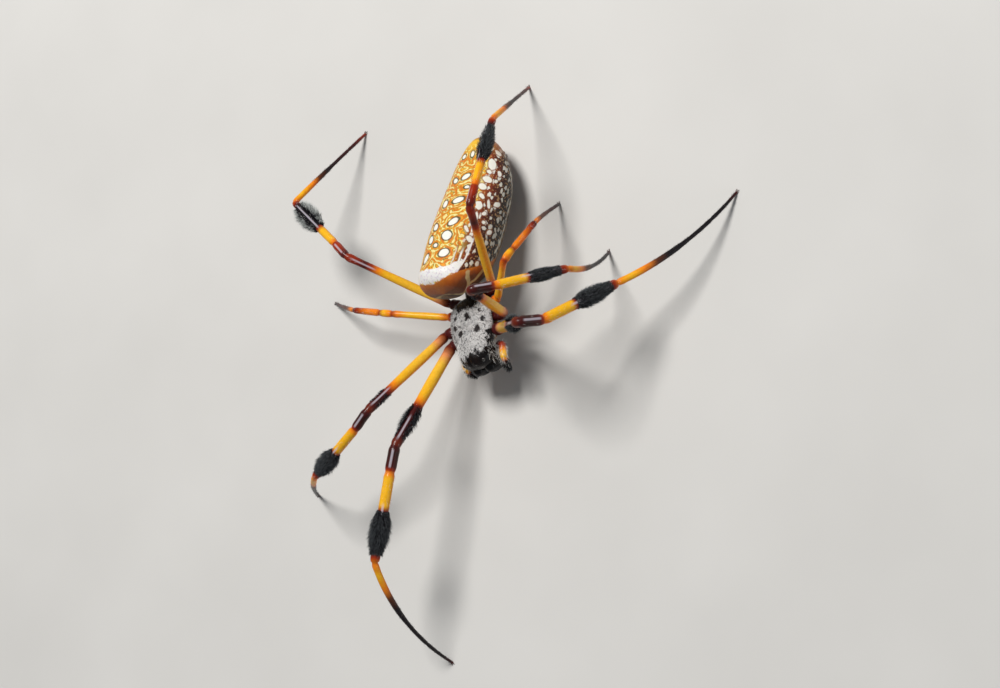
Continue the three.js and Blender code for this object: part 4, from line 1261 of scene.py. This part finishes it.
def claws(limb):
    """Two small hooks on the foot's tip that come down to the floor."""
    tip = limb.centres[-1]
    ahead = unit(limb.ways[-1] * [1, 1, 0])
    aside = np.array([-ahead[1], ahead[0], 0])
    hooks = []
    for side in (1, -1):
        root = tip + [0, 0, 0.1] + aside * side * 0.05 - ahead * 0.1
        bend = tip + [0, 0, 0.16] + aside * side * 0.12 + ahead * 0.2
        end = np.append((tip + aside * side * 0.14 + ahead * 0.34)[:2], 0.03)
        curve = arc(root, bend, end, np.linspace(0, 1, len(CLAW_RADII))[:, None])
        hook, _ = simple_limb(curve, CLAW_RADII, sides=10, step=0.03, upper=aside)
        hooks.append({**hook, "values": {}})
    return joined(hooks)


# Single hairs on each millimetre of thigh, shin and foot, and how far along the foot they start
HAIR_DENSITY = {"thigh": 3, "shin": 16, "foot": 40}
FOOT_HAIRS_FROM = 0.25
WHITE_HAIR = {"length": 0.36, "width": 0.009}
PLAIN_TOP = 0.4


def build_brushes(code, limb, random):
    tips = bristles["pale" if code == TUFTED_LEG else "dark"]
    for part, (low, high, reach, count) in BRUSHES.get(code[1], {}).items():
        bare = PLAIN_TOP if code[1] == "4" or part == "femur" else 0.0
        full = reach * (BRUSH_FULLNESS.get(code, 1.0) if part == "tibia" else 1.0)
        tufts = TUFTS if code == TUFTED_LEG else 0
        coat = brush_hairs(limb, part, (low, high, full, count), random, bare, tufts)
        make_piece(f"leg_{code}_{part}_brush", coat, tips, "shins" if part == "tibia" else "thighs")


def build_single_hairs(code, limb, random):
    hip, _, shin, ankle = limb.joints
    total = limb.lengths[-1]
    spans = [(hip * 0.5, shin, HAIR_DENSITY["thigh"]), (shin, ankle, HAIR_DENSITY["shin"])]
    white = joined([
        fine_hairs(limb, low, high, int(density * (high - low)), random=random, **WHITE_HAIR)
        for low, high, density in spans
    ])
    make_piece(f"leg_{code}_white_hairs", white, bristles["white"], "shins")
    start = ankle + FOOT_HAIRS_FROM * (total - ankle)
    count = int(HAIR_DENSITY["foot"] * (total - start))
    grey = fine_hairs(limb, start, total - 0.3, count, 0.3, random, lean=24, width=0.01)
    make_piece(f"leg_{code}_hairs", grey, bristles["fine"], "feet")


def build_leg(code, random, material):
    limb = build_limb(code)
    nodes = [f"leg_{code}_{part}" for part in ("femur", "tibia", "foot")]
    make_piece(f"leg_{code}_skin", leg_skin(limb, LEG_PAIRS[code[1]]), material, "thighs", nodes)
    build_brushes(code, limb, random)
    build_single_hairs(code, limb, random)
    make_piece(f"leg_{code}_claws", claws(limb), horn, "feet")


# Floor, lights and camera

FLOOR_HALF = 1.5
CAMERA_RIGHT = [0.1634, 0.8497, -0.5013]
CAMERA_UP = [-0.9593, 0.2554, 0.1203]
CAMERA_PLACE = [79.12, 146.50, 273.33]
LENS = 97.66
SENSOR = 36


def build_floor():
    mesh = bpy.data.meshes.new("floor")
    corners = [(x * FLOOR_HALF, y * FLOOR_HALF, 0) for x, y in ((-1, -1), (1, -1), (1, 1), (-1, 1))]
    mesh.from_pydata(corners, [], [(0, 1, 2, 3)])
    paper = Paint("floor_paper", 0.85)
    paper.base = paper.ramp(paper.noise(40, 3), [(0.3, (0.60, 0.59, 0.57)), (0.7, (0.64, 0.63, 0.61))])
    mesh.materials.append(paper.done())
    floor = bpy.data.objects.new("floor", mesh)
    bpy.context.scene.collection.objects.link(floor)


def build_camera():
    """Makes the camera and gives the ways to its right, up and back."""
    right = Vector(CAMERA_RIGHT).normalized()
    up = Vector(CAMERA_UP)
    up = (up - right * up.dot(right)).normalized()
    back = right.cross(up)
    data = bpy.data.cameras.new("camera")
    data.lens = LENS
    data.sensor_width = SENSOR
    data.clip_start = 0.01
    data.clip_end = 10
    camera = bpy.data.objects.new("camera", data)
    turn = Matrix((right, up, back)).transposed().to_4x4()
    camera.matrix_world = Matrix.Translation(Vector((np.array(CAMERA_PLACE) + SHIFT) * MM)) @ turn
    bpy.context.scene.collection.objects.link(camera)
    bpy.context.scene.camera = camera
    return right, up, back


def add_light(name, way, distance, size, power, rgb):
    data = bpy.data.lights.new(name, "AREA")
    data.shape = "DISK"
    data.size = size
    data.energy = power
    data.color = rgb
    light = bpy.data.objects.new(name, data)
    place = Vector(way).normalized() * distance
    light.location = place
    light.rotation_euler = place.to_track_quat("Z", "Y").to_euler()
    bpy.context.scene.collection.objects.link(light)


def build_lights(right, up, back):
    add_light("key", back * 0.75 + up * 0.55 - right * 0.55, 0.45, 0.16, 2.1, (1, 0.98, 0.95))
    add_light("fill", back * 0.6 - up * 0.3 + right * 0.8, 0.5, 0.35, 0.45, (0.93, 0.96, 1))
    world = bpy.data.worlds.new("studio")
    world.use_nodes = True
    sky = world.node_tree.nodes["Background"]
    sky.inputs["Color"].default_value = (0.8, 0.85, 0.9, 1)
    sky.inputs["Strength"].default_value = 0.22
    bpy.context.scene.world = world


random = np.random.default_rng(SEED)
bristles = {
    "dark": bristle_material("dark_bristles", INK, (0.12, 0.135, 0.14), 0.68),
    "pale": bristle_material("pale_bristles", INK, (0.74, 0.78, 0.74), 0.66),
    "fine": bristle_material("fine_hairs", INK, (0.16, 0.14, 0.13), 0.5),
    "white": bristle_material("white_hairs", (0.42, 0.40, 0.36), (0.88, 0.87, 0.84), 0.3),
    "black": bristle_material("black_hairs", (0.003, 0.003, 0.003), (0.03, 0.03, 0.034), 0.6),
}
horn = shell_material("fang_horn", (0.02, 0.004, 0.003), (0.12, 0.02, 0.01), 0.2, coat=0.6)
build_shield(random)
build_abdomen()
build_waist()
build_spinnerets()
build_eyes()
build_mouth(random)
build_palps(random)
leg_shells = {pair: leg_material(pair) for pair in LEG_PAIRS}
for leg_code in POSE:
    build_leg(leg_code, random, leg_shells[leg_code[1]])
build_floor()
build_lights(*build_camera())
bpy.context.scene.view_settings.view_transform = "Standard"
